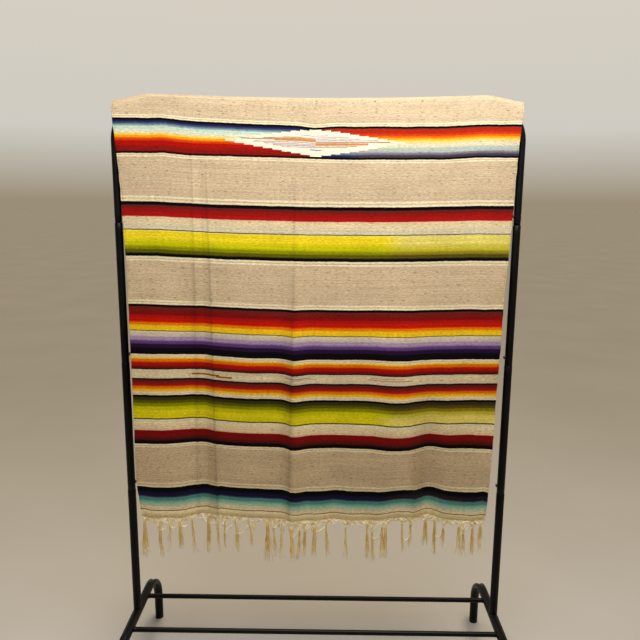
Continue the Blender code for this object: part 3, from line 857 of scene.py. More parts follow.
def woven_wool():
    """Weft-faced tapestry of hand-spun wool on cotton warp.

    The eye sees no gloss, fine ribs over the warps, wefts that differ a little from row to row, and in the
    undyed wool short brown flecks that lie along the wefts. The real wefts are under a millimetre, so their
    streaks are drawn about two millimetres high, as coarse as shows.
    """
    material, shader = new_finish(
        "handwoven wool serape, weft-faced",
        Roughness=0.95,
        Specular_IOR_Level=0.06,
        Sheen_Weight=0.03,
        Sheen_Roughness=0.5,
    )
    uv = node(material, "UVMap", uv_map="weave")
    millimetres = node(material, "VectorMath", {0: uv, 1: (1000.0, 1000.0, 0.0)}, operation="MULTIPLY")
    parts = node(material, "SeparateXYZ", {"Vector": millimetres}).node.outputs
    across = parts["X"]
    straight = parts["Y"]

    wander_at = node(material, "VectorMath", {0: millimetres, 1: (0.011, 0.004, 0.0)}, operation="MULTIPLY")
    wander = node(material, "TexNoise", {"Vector": wander_at, "Scale": 1.0, "Detail": 3.0, "Roughness": 0.6})
    nibble_at = node(material, "VectorMath", {0: millimetres, 1: (0.13, 0.02, 0.0)}, operation="MULTIPLY")
    nibble = node(material, "TexNoise", {"Vector": nibble_at, "Scale": 1.0, "Detail": 2.0})
    along = node(material, "Math", {0: wander, 1: 4.0, 2: straight}, operation="MULTIPLY_ADD")
    along = node(material, "Math", {0: nibble, 1: 1.6, 2: along}, operation="MULTIPLY_ADD")
    along = node(material, "Math", {0: along, 1: 2.8}, operation="SUBTRACT")

    colour = striped_web_colour(material, across, along)

    # Painted shade along the sharp creases, read from the mesh's tint attribute, darkens the colour
    wear_and_shade = node(material, "Attribute", attribute_name="tint").node.outputs["Fac"]
    crease_shaded = node(material, "Math", {0: wear_and_shade, 1: CREASE_SHADE_TONE, 2: 1.0}, operation="MULTIPLY_ADD")
    tone = crease_shaded
    noises = {}
    for name, wide, high, roughness, low_end, top_end, darkest, lightest in WEAVE_TONES:
        at = node(material, "VectorMath", {0: millimetres, 1: (wide, high, 0.0)}, operation="MULTIPLY")
        noises[name] = node(
            material, "TexNoise", {"Vector": at, "Scale": 1.0, "Detail": 3.0, "Roughness": roughness}
        )
        ends = {"From Min": low_end, "From Max": top_end, "To Min": darkest, "To Max": lightest}
        part = node(material, "MapRange", {"Value": noises[name], **ends})
        tone = node(material, "Math", {0: tone, 1: part}, operation="MULTIPLY")
    tone_colour = node(material, "CombineXYZ", {"X": tone, "Y": tone, "Z": tone})
    undyed = undyed_share(material, colour)
    colour = node(material, "MixRGB", {0: 1.0, 1: colour, 2: tone_colour}, blend_type="MULTIPLY")

    fleck_at = node(material, "VectorMath", {0: millimetres, 1: (0.036, 0.13, 0.0)}, operation="MULTIPLY")
    fleck = node(material, "TexVoronoi", {"Vector": fleck_at, "Scale": 1.0}, voronoi_dimensions="2D")
    chance = node(material, "SeparateColor", {"Color": fleck.node.outputs["Color"]})
    size = node(material, "Math", {0: chance, 1: 0.22, 2: -0.06}, operation="MULTIPLY_ADD")
    fleck = node(material, "Math", {0: size, 1: fleck}, operation="SUBTRACT")
    fleck = node(material, "MapRange", {"Value": fleck, "From Min": 0.0, "From Max": 0.05})
    fleck = node(material, "Math", {0: fleck, 1: undyed}, operation="MULTIPLY")
    fleck = node(material, "Math", {0: fleck, 1: 0.62}, operation="MULTIPLY")
    colour = node(material, "MixRGB", {0: fleck, 1: colour, 2: linear("#5E4526")})

    height = web_height(material, across, straight, noises["grain"])
    bump = node(material, "Bump", {"Strength": 0.60, "Distance": 0.0011, "Height": height})
    join_to(material, shader, Base_Color=colour, Normal=bump)
    return material


def undyed_share(material, colour):
    """1 on the undyed beige and 0 on creams and dyed yarns: where the blue part is near that of beige."""
    blue = node(material, "SeparateColor", {"Color": colour}).node.outputs["Blue"]
    above = node(material, "MapRange", {"Value": blue, "From Min": 0.14, "From Max": 0.21})
    below = node(material, "MapRange", {"Value": blue, "From Min": 0.40, "From Max": 0.30})
    return node(material, "Math", {0: above, 1: below}, operation="MULTIPLY")


def web_height(material, across, along, grain):
    """Relief of the weave: ribs 3.2 mm apart over the warps, wefts that pass over and under them."""
    rib = node(material, "Math", {0: across, 1: 2.0 * math.pi / RIB_APART}, operation="MULTIPLY")
    rib = node(material, "Math", {0: rib}, operation="SINE")
    weft = node(material, "Math", {0: along, 1: 2.0 * math.pi / WEFT_APART}, operation="MULTIPLY")
    weft = node(material, "Math", {0: weft}, operation="SINE")
    crossing = node(material, "Math", {0: rib, 1: weft}, operation="MULTIPLY")
    ribs = node(material, "Math", {0: rib, 1: 0.18, 2: grain}, operation="MULTIPLY_ADD")
    return node(material, "Math", {0: crossing, 1: 0.30, 2: ribs}, operation="MULTIPLY_ADD")


def cotton_cord():
    """Undyed cotton warp ends, twisted by hand: matt and creamy, mottled from golden cream to pale cream."""
    material, shader = new_finish(
        "twisted cotton warp cord",
        Roughness=0.90,
        Specular_IOR_Level=0.22,
        Sheen_Weight=0.15,
        Sheen_Roughness=0.5,
    )
    place = node(material, "TexCoord").node.outputs["Object"]
    shade = node(material, "TexNoise", {"Vector": place, "Scale": 90.0, "Detail": 3.0})
    colour = node(material, "ValToRGB", {"Fac": shade})
    set_stops(colour, (0.32, "#E0C582"), (0.62, "#FFF4D2"))
    fibre = node(material, "TexNoise", {"Vector": place, "Scale": 900.0, "Detail": 2.0})
    bump = node(material, "Bump", {"Strength": 0.35, "Distance": 0.0004, "Height": fibre})
    join_to(material, shader, Base_Color=colour, Normal=bump)
    return material


def golden_floss():
    """Unravelled cotton warp, aged to gold: soft sheen along the fibres, some strands paler than others."""
    material, shader = new_finish(
        "unravelled golden cotton",
        Roughness=0.72,
        Specular_IOR_Level=0.35,
        Sheen_Weight=0.25,
        Sheen_Roughness=0.4,
    )
    place = node(material, "TexCoord").node.outputs["Object"]
    tint = node(material, "Attribute", attribute_name="tint").node.outputs["Fac"]
    patch = node(material, "TexNoise", {"Vector": place, "Scale": 55.0, "Detail": 2.0})
    blend = node(material, "Math", {0: patch, 1: 0.5, 2: tint}, operation="MULTIPLY_ADD")
    colour = node(material, "ValToRGB", {"Fac": blend})
    set_stops(colour, (0.18, "#C6962A"), (0.95, "#FFF2C8"), (0.5, "#F2CF5E"))
    join_to(material, shader, Base_Color=colour)
    return material


def black_gloss_paint():
    """Steel tube sprayed with black gloss paint: a hard clear highlight, faint orange peel, dust and rubs."""
    material, shader = new_finish(
        "black gloss painted steel tube",
        Metallic=0.0,
        IOR=1.5,
        Specular_IOR_Level=0.13,
    )
    place = node(material, "TexCoord").node.outputs["Object"]
    cloud = node(material, "TexNoise", {"Vector": place, "Scale": 14.0, "Detail": 4.0})
    colour = node(material, "ValToRGB", {"Fac": cloud})
    set_stops(colour, (0.30, "#060607"), (0.75, "#100F0E"))
    long_way = node(material, "VectorMath", {0: place, 1: (1.0, 1.0, 0.12)}, operation="MULTIPLY")
    rub = node(material, "TexNoise", {"Vector": long_way, "Scale": 160.0, "Detail": 3.0, "Roughness": 0.7})
    rub = node(material, "MapRange", {"Value": rub, "From Min": 0.68, "From Max": 0.80, "To Max": 0.25})
    dusty = node(material, "MixRGB", {0: rub, 1: colour, 2: linear("#1E1D1B")})
    ends = {"From Min": 0.3, "From Max": 0.7, "To Min": 0.34, "To Max": 0.46}
    gloss = node(material, "MapRange", {"Value": cloud, **ends})
    peel = node(material, "TexNoise", {"Vector": place, "Scale": 420.0, "Detail": 2.0})
    bump = node(material, "Bump", {"Strength": 0.10, "Distance": 0.0003, "Height": peel})
    join_to(material, shader, Base_Color=dusty, Roughness=gloss, Normal=bump)
    return material


def black_button_paint():
    """Spring buttons in the same paint, rubbed through to dull steel in small patches all over."""
    material, shader = new_finish("black painted spring button", IOR=1.5, Coat_Weight=0.2, Coat_Roughness=0.2)
    place = node(material, "TexCoord").node.outputs["Object"]
    wear_and_shade = node(material, "TexNoise", {"Vector": place, "Scale": 320.0, "Detail": 3.0})
    colour = node(material, "ValToRGB", {"Fac": wear_and_shade})
    set_stops(colour, (0.45, "#0C0C0D"), (0.80, "#4A4845"))
    rough = node(material, "MapRange", {"Value": wear_and_shade, "To Min": 0.22, "To Max": 0.45})
    join_to(material, shader, Base_Color=colour, Roughness=rough)
    return material


def floor_paint():
    """Pale studio floor: matt, all but even, with the faintest mottling."""
    material, shader = new_finish("pale matt studio floor", Roughness=0.85, Specular_IOR_Level=0.2)
    place = node(material, "TexCoord").node.outputs["Object"]
    cloud = node(material, "TexNoise", {"Vector": place, "Scale": 1.5, "Detail": 4.0})
    colour = node(material, "ValToRGB", {"Fac": cloud})
    set_stops(colour, (0.3, "#B9B7B2"), (0.7, "#BFBDB8"))
    join_to(material, shader, Base_Color=colour)
    return material


# Blanket and its edges


def serape(finish):
    """The woven web as one thin closed shell over the bar."""
    points, mapping, wear_and_shade = web_grid()
    both, quads, both_map = shell(points, mapping, WEB_THICKNESS)
    no_triangles = np.zeros((0, 3), int)
    # Painted crease shade for both sides of the shell
    both_crease_shade = np.tile(wear_and_shade.reshape(-1), 2)
    piece = make_piece(
        "serape", both, quads, no_triangles, finish, both_map, both_crease_shade, "serape_web"
    )
    return piece, points, mapping


SELVEDGE_RADIUS = 1.75 * MM
SELVEDGE_STEP = 3.0 * MM
TURN_LENGTH = 7.0 * MM


def selvedge(name, line, line_map, finish):
    """Bundled outer warps with the wefts turned round them: a tube whose radius swells at each turn."""
    step = np.linalg.norm(np.diff(line, axis=0), axis=-1)
    along = np.concatenate([[0.0], step.cumsum()])
    places = np.arange(0.0, along[-1], SELVEDGE_STEP)
    path = np.stack([np.interp(places, along, line[:, axis]) for axis in range(3)], axis=-1)
    swell = 0.10 * np.sin(2.0 * np.pi * places / TURN_LENGTH) + 0.06 * np.sin(2.0 * np.pi * places / 0.031)
    radius = SELVEDGE_RADIUS * (1.0 + swell)
    path[:, 0] += 0.35 * MM * np.sin(2.0 * np.pi * places / 0.043)
    points, quads, triangles, _ = tubes(path[None], radius[None], 8, (1.0, 0.0, 0.0))
    rows = np.interp(places, along, line_map[:, 1])
    across = np.full(len(places), line_map[0, 0])
    ring_map = np.repeat(np.stack([across, rows], axis=-1), 8, axis=0)
    mapping = np.concatenate([ring_map, [[across[0], rows[0]], [across[0], rows[-1]]]])
    return make_piece(name, points, quads, triangles, finish, mapping)


# Fringe tassels of the front: place along the hem, drop to the knot, drop to the tips, spread at the
# tips, lean to the right at the tips, in millimetres
FRONT_TASSELS = (
    (-437, 12, 114, 20, -2), (-399, 30, 108, 13, 2), (-374, 25, 92, 7, -5), (-350, 19, 86, 14, 2),
    (-321, 8, 104, 11, 4), (-280, 28, 106, 16, 0), (-254, 42, 98, 9, 4), (-234, 43, 90, 8, 1),
    (-202, 44, 98, 11, -1), (-165, 56, 80, 8, 0), (-123, 15, 116, 17, 1), (-108, 22, 106, 9, 2),
    (-88, 64, 110, 8, 0), (-61, 47, 106, 13, 3), (-38, 20, 104, 12, -6), (-26, 26, 96, 11, -3),
    (-1, 42, 98, 15, -2), (28, 10, 98, 13, 3), (79, 15, 108, 9, 2), (134, 12, 110, 14, 2),
    (146, 30, 114, 9, 4), (171, 14, 104, 12, 1), (181, 18, 106, 12, 0), (222, 14, 92, 9, 1),
    (246, 12, 88, 9, -2), (290, 16, 88, 17, -1), (311, 20, 106, 14, 0), (331, 22, 80, 8, 0),
    (371, 12, 96, 15, 2), (382, 30, 98, 10, 4), (404, 16, 92, 12, 1), (422, 14, 86, 12, -1),
)
# Cords that cross from one tassel to the next: start along the hem, its drop, end, its drop, sag
FRONT_LINKS = (
    (-399, 28, -378, 16, 8), (-376, 22, -354, 14, 8), (-350, 18, -324, 5, 15), (-280, 24, -256, 20, 3),
    (-256, 34, -238, 20, 6), (-236, 40, -216, 24, 4), (-200, 44, -174, 22, 9), (-108, 24, -92, 10, 3),
    (-58, 44, -40, 14, 6), (-26, 26, -8, 6, 2), (2, 30, 26, 18, 3), (80, 20, 104, 3, -3),
    (148, 28, 162, 8, 4), (148, 46, 168, 36, 10), (176, 20, 196, 2, 2), (224, 12, 236, 2, 2),
    (224, 52, 244, 44, 12), (250, 14, 266, 2, 2), (294, 16, 308, 8, 3), (312, 52, 332, 40, 10),
    (384, 26, 398, 10, 3), (424, 10, 434, 1, -1),
)
BACK_PLACES = (
    -447, -419, -391, -352, -322, -297, -252, -217, -190, -151, -118, -92, -50, -21,
    14, 42, 83, 110, 148, 187, 212, 251, 277, 318, 347, 385, 411, 434,
)
CORD_RADIUS = 1.10 * MM
PLY_APART = 0.95 * MM
CORD_LAY = 9.0 * MM
FLOSS_RADIUS = 0.42 * MM
STRANDS_PER_SPREAD = 2.3
FLOSS_STARTS = 0.3
FRINGE_SEED = 11
BACK_HEM_ENDS = (-0.4557, 0.4443)
LOOP_MARGIN = 8.0 * MM
LOOP_APART = 5.2 * MM
LOOP_WIDTHS = (6.0, 24.0)
LOOP_CORD_RADIUS = 1.30 * MM
KNOT_CORD_RADIUS = 1.25 * MM


def back_tassels(rng):
    """Rows like those of the front for the hidden side, drawn from the same ranges."""
    rows = []
    for place in BACK_PLACES:
        spread = int(rng.integers(8, 19))
        knot, tip, lean = (int(rng.integers(*ends)) for ends in ((9, 46), (82, 113), (-4, 5)))
        rows.append((place, knot, tip, spread, lean))
    return tuple(rows)


def back_links(rows, rng):
    """A crossing cord between about two in three of the neighbouring tassels that stand close."""
    links = []
    for first, second in zip(rows, rows[1:]):
        if second[0] - first[0] < 42 and rng.random() < 0.75:
            sag = int(rng.integers(2, 11))
            links.append((first[0] + 2, first[1], second[0] - 4, int(second[1] * 0.5), sag))
    return tuple(links)


def hem_line(front):
    """Function that gives the web's end at any place across, from a fine line of its points."""
    last = FRONT_FALL if front else BACK_FALL
    line = drop_point(np.linspace(0.0, 1.0, 400), np.full(400, last), front)
    line[:, 2] += hem_lift(line[:, 0], last) if front else 0.0

    def at(x):
        """Point of the web's end at a place across."""
        x = np.clip(x, line[0, 0] + 1.5 * MM, line[-1, 0] - 1.5 * MM)
        y, z = (np.interp(x, line[:, 0], line[:, axis]) for axis in (1, 2))
        return np.stack([x, y, z], axis=-1)

    return at


def bezier(start, bend, end, stations):
    """Points on arcs with one bend point each: the usual square of the share weighting."""
    t = np.linspace(0.0, 1.0, stations)[None, :, None]
    return (1 - t) ** 2 * start[:, None] + 2 * t * (1 - t) * bend[:, None] + t * t * end[:, None]


def twisted(paths, phase):
    """Two plies round each path: a circle of small radius carried along it, one turn to each lay."""
    ahead = np.gradient(paths, axis=1)
    ahead /= np.linalg.norm(ahead, axis=-1, keepdims=True)
    side = np.cross(np.array([0.0, 1.0, 0.0]) + np.zeros_like(ahead), ahead)
    side /= np.linalg.norm(side, axis=-1, keepdims=True)
    upward = np.cross(ahead, side)
    step = np.linalg.norm(np.diff(paths, axis=1), axis=-1).cumsum(axis=1)
    along = np.concatenate([np.zeros((len(paths), 1)), step], axis=1)
    plies = []
    for ply in (0.0, np.pi):
        turn = (2.0 * np.pi * along / CORD_LAY + phase + ply)[..., None]
        plies.append(paths + PLY_APART * (np.cos(turn) * side + np.sin(turn) * upward))
    return np.concatenate(plies)


def warp_cords(rows, links, hem, rng):
    """Paths of the pale cords: two from the hem to each knot, and the ones that cross between tassels."""
    starts, bends, ends = [], [], []
    for place, knot, _, spread, _ in rows:
        for side in (-1.0, -0.45, 0.5, 1.0):
            reach = rng.uniform(0.75, 1.35) * max(spread, 10)
            root = hem((place + side * reach) * MM)
            end = hem(place * MM) - np.array([-side * 0.6 * MM, 0.0, knot * rng.uniform(0.7, 1.0) * MM])
            slack = [side * rng.uniform(-5, 3), rng.uniform(-2.5, 2.5), rng.uniform(-0.35, 0.1) * knot]
            starts.append(root + np.array([0.0, 0.0, 2.0 * MM]))
            bends.append((root + end) / 2 + np.array(slack) * MM)
            ends.append(end)
    for first, first_drop, second, second_drop, sag in links:
        start = hem(first * MM) - np.array([0.0, rng.uniform(-1, 2) * MM, first_drop * MM])
        end = hem(second * MM) - np.array([0.0, rng.uniform(-1, 2) * MM, second_drop * MM])
        starts.append(start)
        bends.append((start + end) / 2 - np.array([0.0, 0.0, 2 * sag * MM]))
        ends.append(end)
    return bezier(np.array(starts), np.array(bends), np.array(ends), 30)


def hem_loops(hem, front, rng):
    """Small arcs of warp all along the web's end, between its last weft and the cords."""
    left, right = EDGES[-1][1:] if front else BACK_HEM_ENDS
    places = np.arange(left + LOOP_MARGIN, right - LOOP_MARGIN, LOOP_APART)
    places = places + rng.uniform(-2.0, 2.0, len(places)) * MM
    width = rng.uniform(*LOOP_WIDTHS, len(places)) * MM
    drop = width * rng.uniform(0.30, 0.80, len(places))
    start = hem(places - width / 2)
    end = hem(places + width / 2)
    start[:, 2] += 1.5 * MM
    end[:, 2] += 1.5 * MM
    bend = (start + end) / 2
    bend[:, 2] -= 2.0 * drop
    bend[:, 1] += rng.uniform(-2.5, 2.5, len(places)) * MM
    return bezier(start, bend, end, 8)


def knots(rows, hem, rng):
    """Paths of the wrapped knots: two and a half turns of a cord round each tassel's neck."""
    turn = np.linspace(0.0, 2.5 * 2.0 * np.pi, 26)
    paths = []
    for place, knot, _, spread, _ in rows:
        middle = hem(place * MM) - np.array([0.0, 0.0, (knot + 2.5) * MM])
        radius = (1.0 + 0.045 * spread) * MM * (1.0 - 0.25 * np.cos(turn / 2.5))
        phase = rng.uniform(0.0, 6.28)
        x, y = radius * np.cos(turn + phase), radius * np.sin(turn + phase)
        paths.append(middle + np.stack([x, y, (3.0 - turn * 0.38) * MM], axis=-1))
    return np.array(paths)


def floss_strands(rows, hem, rng):
    """Paths and radii of the unravelled strands: each leaves the knot, drifts out and wavers to its tip."""
    paths, radii, tints = [], [], []
    t = np.linspace(0.0, 1.0, 11)
    for place, knot, tip, spread, lean in rows:
        count = int(spread * STRANDS_PER_SPREAD)
        top = hem(place * MM) - np.array([0.0, 0.0, knot * FLOSS_STARTS * MM])
        angle = rng.uniform(0.0, 2.0 * np.pi, count)
        reach = np.sqrt(rng.uniform(0.0, 1.0, count)) * spread * 0.42 * MM
        length = (tip - knot * FLOSS_STARTS) * MM * (1.03 - 0.48 * rng.uniform(0.0, 1.0, count) ** 1.7)
        flare = np.where(rng.uniform(0.0, 1.0, count) > 0.66, rng.uniform(1.5, 9.0, count), 0.0) * MM
        out = 0.5 * MM + reach[:, None] * (0.3 + 0.7 * t[None]) + flare[:, None] * t[None] ** 4
        wave = rng.uniform(0.4, 2.6, count)[:, None] * MM * t[None]
        phase = rng.uniform(0.0, 6.28, count)[:, None]
        turns = rng.uniform(1.0, 2.8, count)[:, None]
        sway = wave * np.sin(2.0 * np.pi * turns * t[None] + phase)
        cross = wave * np.cos(2.0 * np.pi * turns * t[None] * 0.8 + phase)
        x = top[0] + out * np.cos(angle)[:, None] + sway + lean * MM * t[None] ** 1.5
        y = top[1] + 0.8 * out * np.sin(angle)[:, None] + cross
        z = top[2] - length[:, None] * t[None] + 0 * x
        paths.append(np.stack([x, y, z], axis=-1))
        thick = FLOSS_RADIUS * rng.uniform(0.7, 1.35, count)[:, None]
        radii.append(thick * (1.0 - 0.6 * t[None] ** 3))
        tints.append(rng.uniform(0.0, 0.75, count) * (0.6 + 0.4 * rng.uniform()))
    return np.concatenate(paths), np.concatenate(radii), np.concatenate(tints)


def fringe(name, node_name, rows, links, front, cord_finish, floss_finish):
    """One end's fringe: a piece of twisted pale cords and knots, and a piece of golden floss."""
    rng = np.random.default_rng(FRINGE_SEED + int(front))
    hem = hem_line(front)
    cords = twisted(warp_cords(rows, links, hem, rng), rng.uniform(0.0, 6.28))
    loops = hem_loops(hem, front, rng)
    knot_paths = knots(rows, hem, rng)
    batches = []
    for paths, radius in ((cords, CORD_RADIUS), (loops, LOOP_CORD_RADIUS), (knot_paths, KNOT_CORD_RADIUS)):
        radii = np.full(paths.shape[:2], radius)
        batches.append((*tubes(paths, radii, 5, (0.0, 1.0, 0.02)), 0.0))
    points, quads, triangles, mapping, _ = join_arrays(batches)
    cord_piece = make_piece(
        name + "_cords", points, quads, triangles, cord_finish, mapping, stands_for=node_name
    )
    paths, radii, tints = floss_strands(rows, hem, rng)
    points, quads, triangles, mapping = tubes(paths, radii, 4, (0.0, 1.0, 0.0))
    per_strand = len(points) // len(paths)
    tint = np.repeat(tints, per_strand)
    floss_piece = make_piece(
        name + "_tassels", points, quads, triangles, floss_finish, mapping, tint
    )
    return cord_piece, floss_piece


# Rack


def straight_tube(name, node_name, radius, x, bottom, top, seat, finish):
    """Upright tube: a circle carried up a line, with eased rims, its foot shaped to the round rail."""
    ease = 0.9 * MM
    middle = np.linspace(bottom + 0.02, top - 0.02, 14)
    heights = np.concatenate([[bottom, bottom + ease], middle, [top - ease, top]])
    radii = np.full(len(heights), radius)
    radii[-1] -= ease
    if not seat:
        radii[0] -= ease
    path = np.stack([np.full_like(heights, x), np.zeros_like(heights), heights], axis=-1)
    sides = 40
    points, quads, triangles, mapping = tubes(path[None], radii[None], sides, (0.0, 1.0, 0.0))
    if seat:
        ring = points[: 3 * sides]
        rail = np.sqrt((FOOT_RADIUS + GAP) ** 2 - (ring[:, 0] - x) ** 2)
        share = np.repeat([1.0, 1.0, 0.0], sides)
        lift = np.repeat([0.0, ease, 0.0], sides)
        ring[:, 2] += share * (FOOT_Z + rail + lift - ring[:, 2])
        points[-2, 2] = FOOT_Z + FOOT_RADIUS + GAP
    make_piece(name, points, quads, triangles, finish, mapping, stands_for=node_name)


def top_bar(finish):
    """Bent top tube: legs, quarter-circle corners and the sagging bar, a little flattened in the bends."""
    corner_z = BAR_Z - CORNER_RADIUS
    leg_z = np.linspace(JOINT_Z["upper"] + GAP, corner_z, 12)
    turn = np.linspace(0.0, np.pi / 2, 26)[1:]
    bar_x = np.linspace(-STRAIGHT_HALF, 0.0, 30)[1:]
    half_x = np.concatenate([np.full(12, -UPRIGHT_X), -STRAIGHT_HALF - CORNER_RADIUS * np.cos(turn), bar_x])
    half_z = np.concatenate([leg_z, corner_z + CORNER_RADIUS * np.sin(turn), bar_height(bar_x)])
    bent = np.concatenate([np.zeros(12), np.sin(2.0 * turn), np.zeros(29)])
    x = np.concatenate([half_x, -half_x[-2::-1]])
    z = np.concatenate([half_z, half_z[-2::-1]])
    bent = np.concatenate([bent, bent[-2::-1]])
    path = np.stack([x, np.zeros_like(x), z], axis=-1)
    radii = np.full(len(x), TOP_RADIUS)
    radii[[0, -1]] -= 0.5 * MM

    def flatten(across, out, _):
        """Flatter across the bend and wider along the hinge by two parts in a hundred."""
        return across * (1.0 - 0.03 * bent[None, :, None]), out * (1.0 + 0.02 * bent[None, :, None])

    points, quads, triangles, mapping = tubes(path[None], radii[None], 40, (0.0, 1.0, 0.0), flatten)
    make_piece("top_bar", points, quads, triangles, finish, mapping, stands_for="top_frame")


def bent_foot(name, node_name, x, finish):
    """Foot tube: an upside-down U from front to back whose bends are pressed flat and grooved outside."""
    bend_y = FOOT_LEG_Y - FOOT_BEND
    bend_z = FOOT_Z - FOOT_BEND
    turn = np.linspace(0.0, np.pi / 2, 34)
    leg_z = np.array([0.0, 0.6 * MM, 0.02, 0.045])
    rail_y = np.linspace(-bend_y, 0.0, 12)[1:]
    y = np.concatenate([np.full(4, -FOOT_LEG_Y), -bend_y - FOOT_BEND * np.cos(turn), rail_y])
    z = np.concatenate([leg_z, bend_z + FOOT_BEND * np.sin(turn), np.full(11, FOOT_Z)])
    press = np.concatenate([np.zeros(4), np.sin(2.0 * turn) ** PRESS_SHARPNESS, np.zeros(11)])
    y = np.concatenate([y, -y[-2::-1]])
    z = np.concatenate([z, z[-2::-1]])
    press = np.concatenate([press, press[-2::-1]])[None, :, None]
    path = np.stack([np.full_like(y, x), y, z], axis=-1)
    radii = np.full(len(y), FOOT_RADIUS)
    radii[[0, -1]] -= 0.8 * MM

    def pressed(across, out, angle):
        """Flatter along the bend's radius, wider across it, and a bell-shaped groove along the outside.

        Rings start, at angle 0, on the outside of the bend.
        """
        off_crown = np.arctan2(np.sin(angle), np.cos(angle))
        groove = PRESS_GROOVE * press * np.exp(-((off_crown / PRESS_GROOVE_ANGLE) ** 2))
        return across * (1.0 - PRESS_FLATTEN * press) - groove, out * (1.0 + PRESS_WIDEN * press)

    points, quads, triangles, mapping = tubes(path[None], radii[None], 48, (1.0, 0.0, 0.0), pressed)
    make_piece(name, points, quads, triangles, finish, mapping, stands_for=node_name)


def cross_bar(name, node_name, finish):
    """Thin bar between the feet, its ends coped to the round rails with a small fillet of weld."""
    low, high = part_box(node_name)
    radius = (high.z - low.z) / 2
    y = (high.y + low.y) / 2
    z = (high.z + low.z) / 2
    inner = np.linspace(-UPRIGHT_X + 0.03, UPRIGHT_X - 0.03, 21)
    reach = UPRIGHT_X - FOOT_RADIUS
    weld = reach - np.array([0.0, 1.2 * MM, 4.0 * MM])
    x = np.concatenate([-weld, inner, weld[::-1]])
    radii = np.full(len(x), radius)
    radii[[0, -1]] += 1.0 * MM
    radii[[1, -2]] += 0.5 * MM
    sides = 28
    path = np.stack([x, np.full_like(x, y), np.full_like(x, z)], axis=-1)
    points, quads, triangles, mapping = tubes(path[None], radii[None], sides, (0.0, 1.0, 0.0))
    for sign, first in ((-1.0, 0), (1.0, (len(x) - 2) * sides)):
        ring = points[first : first + 2 * sides]
        rail = np.sqrt((FOOT_RADIUS + GAP) ** 2 - (ring[:, 2] - FOOT_Z) ** 2)
        back = np.repeat([0.0, 1.2 * MM] if sign < 0 else [1.2 * MM, 0.0], sides)
        ring[:, 0] = sign * (UPRIGHT_X - rail - back)
    middle_rail = math.sqrt((FOOT_RADIUS + GAP) ** 2 - (z - FOOT_Z) ** 2)
    points[-2, 0] = -(UPRIGHT_X - middle_rail)
    points[-1, 0] = UPRIGHT_X - middle_rail
    make_piece(name, points, quads, triangles, finish, mapping, stands_for=node_name)


def spring_button(name, node_name, x, z, tube_radius, finish):
    """Domed button: a circle carried inwards from the tube's wall, closing over a rounded crown."""
    inward = -math.copysign(1.0, x)
    crown = 0.45 * BUTTON_RADIUS
    dome = np.linspace(0.0, np.pi / 2, 7)
    stand = np.concatenate([[0.0, 0.8 * MM], BUTTON_PROUD - crown + crown * np.sin(dome)])
    radii = np.concatenate([[BUTTON_RADIUS] * 2, BUTTON_RADIUS - crown + crown * np.cos(dome)])
    out_x = x + inward * (tube_radius + stand)
    path = np.stack([out_x, np.zeros_like(stand), np.full_like(stand, z)], axis=-1)
    sides = 28
    points, quads, triangles, mapping = tubes(path[None], radii[None], sides, (0.0, 1.0, 0.0))
    ring = points[:sides]
    ring[:, 0] = x + inward * np.sqrt((tube_radius + GAP) ** 2 - ring[:, 1] ** 2)
    make_piece(name, points, quads, triangles, finish, mapping, stands_for=node_name)


def rack():
    """Every tube and button of the rack."""
    paint = black_gloss_paint()
    button_paint = black_button_paint()
    top_bar(paint)
    bottoms = {"upper": JOINT_Z["middle"] + GAP, "middle": JOINT_Z["lower"] + GAP, "lower": FOOT_Z}
    above = {"upper": TOP_RADIUS, "middle": TUBE_RADII["upper"], "lower": TUBE_RADII["middle"]}
    for side, x in (("left", -UPRIGHT_X), ("right", UPRIGHT_X)):
        bent_foot(side + "_foot", "side_foot_" + side, x, paint)
        for level in LEVELS:
            straight_tube(
                side + "_tube_" + level,
                "upright_" + side + "_" + level,
                TUBE_RADII[level],
                x,
                bottoms[level],
                JOINT_Z[level],
                level == "lower",
                paint,
            )
            spring_button(
                side + "_button_" + level,
                "snap_button_" + side + "_" + level,
                x,
                JOINT_Z[level] + BUTTON_ABOVE_JOINT,
                above[level],
                button_paint,
            )
    for place in ("front", "back"):
        cross_bar(place + "_cross_bar", "cross_bar_" + place, paint)


# Camera, light and floor


def camera():
    """Camera at the photograph's place: 1.58 m in front, a little above the middle, tilted down."""
    focal = 36.234
    place = Vector((0.02686, -1.58487, 1.27003))
    pitch = math.radians(10.449)
    roll = math.radians(0.3858)
    yaw = math.radians(-0.6554)
    ahead = Vector((math.sin(yaw) * math.cos(pitch), math.cos(yaw) * math.cos(pitch), -math.sin(pitch)))
    level = Vector((math.cos(yaw), -math.sin(yaw), 0.0))
    above = level.cross(ahead)
    right = math.cos(roll) * level + math.sin(roll) * above
    up = -math.sin(roll) * level + math.cos(roll) * above
    data = bpy.data.cameras.new("camera")
    data.lens = focal
    data.sensor_width = 36.0
    thing = bpy.data.objects.new("camera", data)
    turned = Matrix((right, up, -ahead)).transposed().to_4x4()
    thing.matrix_world = Matrix.Translation(place) @ turned
    bpy.context.scene.collection.objects.link(thing)
    bpy.context.scene.camera = thing


def place_light(data, place, target, hex_colour):
    """Put a light in the scene, aimed at a point and unseen by the camera."""
    data.color = linear(hex_colour)[:3]
    thing = bpy.data.objects.new(data.name, data)
    thing.location = place
    thing.rotation_euler = (Vector(target) - Vector(place)).to_track_quat("-Z", "Y").to_euler()
    thing.visible_camera = False
    bpy.context.scene.collection.objects.link(thing)


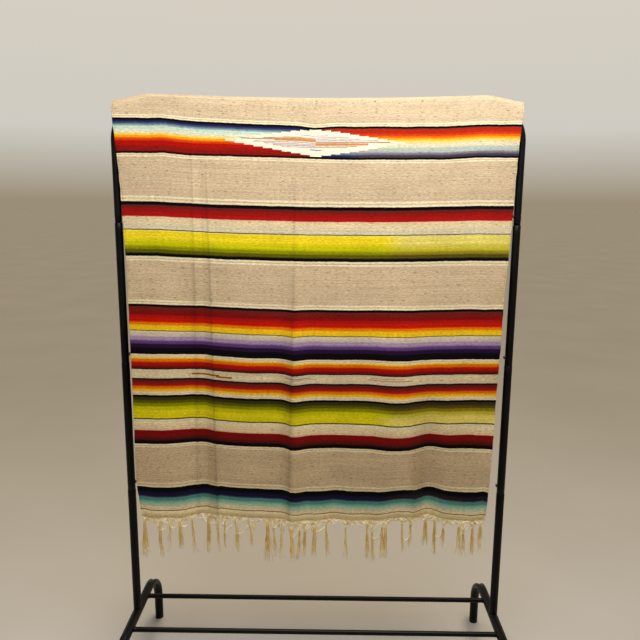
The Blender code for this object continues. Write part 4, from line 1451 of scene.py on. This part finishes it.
def studio():
    """Soft light from above in front and behind, a high even light, a pale surround and the floor."""
    front = bpy.data.lights.new("front light", "AREA")
    front.shape = "RECTANGLE"
    front.size = 1.5
    front.size_y = 0.45
    front.energy = 18.6
    place_light(front, (0.13, -0.62, 1.86), (0.0, 0.0, 1.40), "#EAF0FF")
    back = bpy.data.lights.new("back light", "AREA")
    back.shape = "RECTANGLE"
    back.size = 1.5
    back.size_y = 0.45
    back.energy = 14.0
    place_light(back, (-0.2, 1.0, 2.2), (0.0, 0.0, 1.2), "#FFF6EA")
    high = bpy.data.lights.new("high light", "SUN")
    high.energy = 1.55
    high.angle = math.radians(18)
    place_light(high, (0.30, -0.30, 3.2), (0.0, 0.0, 0.0), "#FFE8C6")
    world = bpy.data.worlds.new("pale surround")
    bpy.context.scene.world = world
    world.use_nodes = True
    background = world.node_tree.nodes["Background"]
    direction = node(world, "SeparateXYZ", {"Vector": node(world, "TexCoord")}).node.outputs
    pale = node(world, "ValToRGB", {"Fac": direction["Z"]})
    set_stops(pale, (0.0, "#9B8E78"), (0.55, "#5E584C"), (0.10, "#CFCBC2"), (0.28, "#D6CFC2"))
    strength = node(
        world, "MapRange", {"Value": direction["Y"], "From Min": -0.4, "From Max": 0.3, "To Min": 0.34}
    )
    ends = {"From Min": 0.03, "From Max": 0.30, "To Min": 1.0, "To Max": 0.0}
    low = node(world, "MapRange", {"Value": direction["Z"], **ends})
    strength = node(world, "Math", {0: strength, 1: low}, operation="MAXIMUM")
    world.node_tree.links.new(pale, background.inputs["Color"])
    world.node_tree.links.new(strength, background.inputs["Strength"])

    mesh = bpy.data.meshes.new("floor")
    half = 90.0
    mesh.from_pydata(
        [(-half, -half, 0.0), (half, -half, 0.0), (half, half, 0.0), (-half, half, 0.0)], [], [(0, 1, 2, 3)]
    )
    mesh.materials.append(floor_paint())
    floor = bpy.data.objects.new("floor", mesh)
    bpy.context.scene.collection.objects.link(floor)
    bpy.context.scene.view_settings.view_transform = "Standard"


def build():
    camera()
    studio()
    rack()
    wool = woven_wool()
    web, points, mapping = serape(wool)
    left = selvedge("left_selvedge", points[:, 0], mapping[:, 0], wool)
    right = selvedge("right_selvedge", points[:, -1], mapping[:, -1], wool)
    cord_finish = cotton_cord()
    floss_finish = golden_floss()
    rng = np.random.default_rng(FRINGE_SEED)
    back_rows = back_tassels(rng)
    finishes = (cord_finish, floss_finish)
    fringes = fringe("front_fringe", "fringe_front", FRONT_TASSELS, FRONT_LINKS, True, *finishes)
    fringes += fringe("back_fringe", "fringe_back", back_rows, back_links(back_rows, rng), False, *finishes)


build()
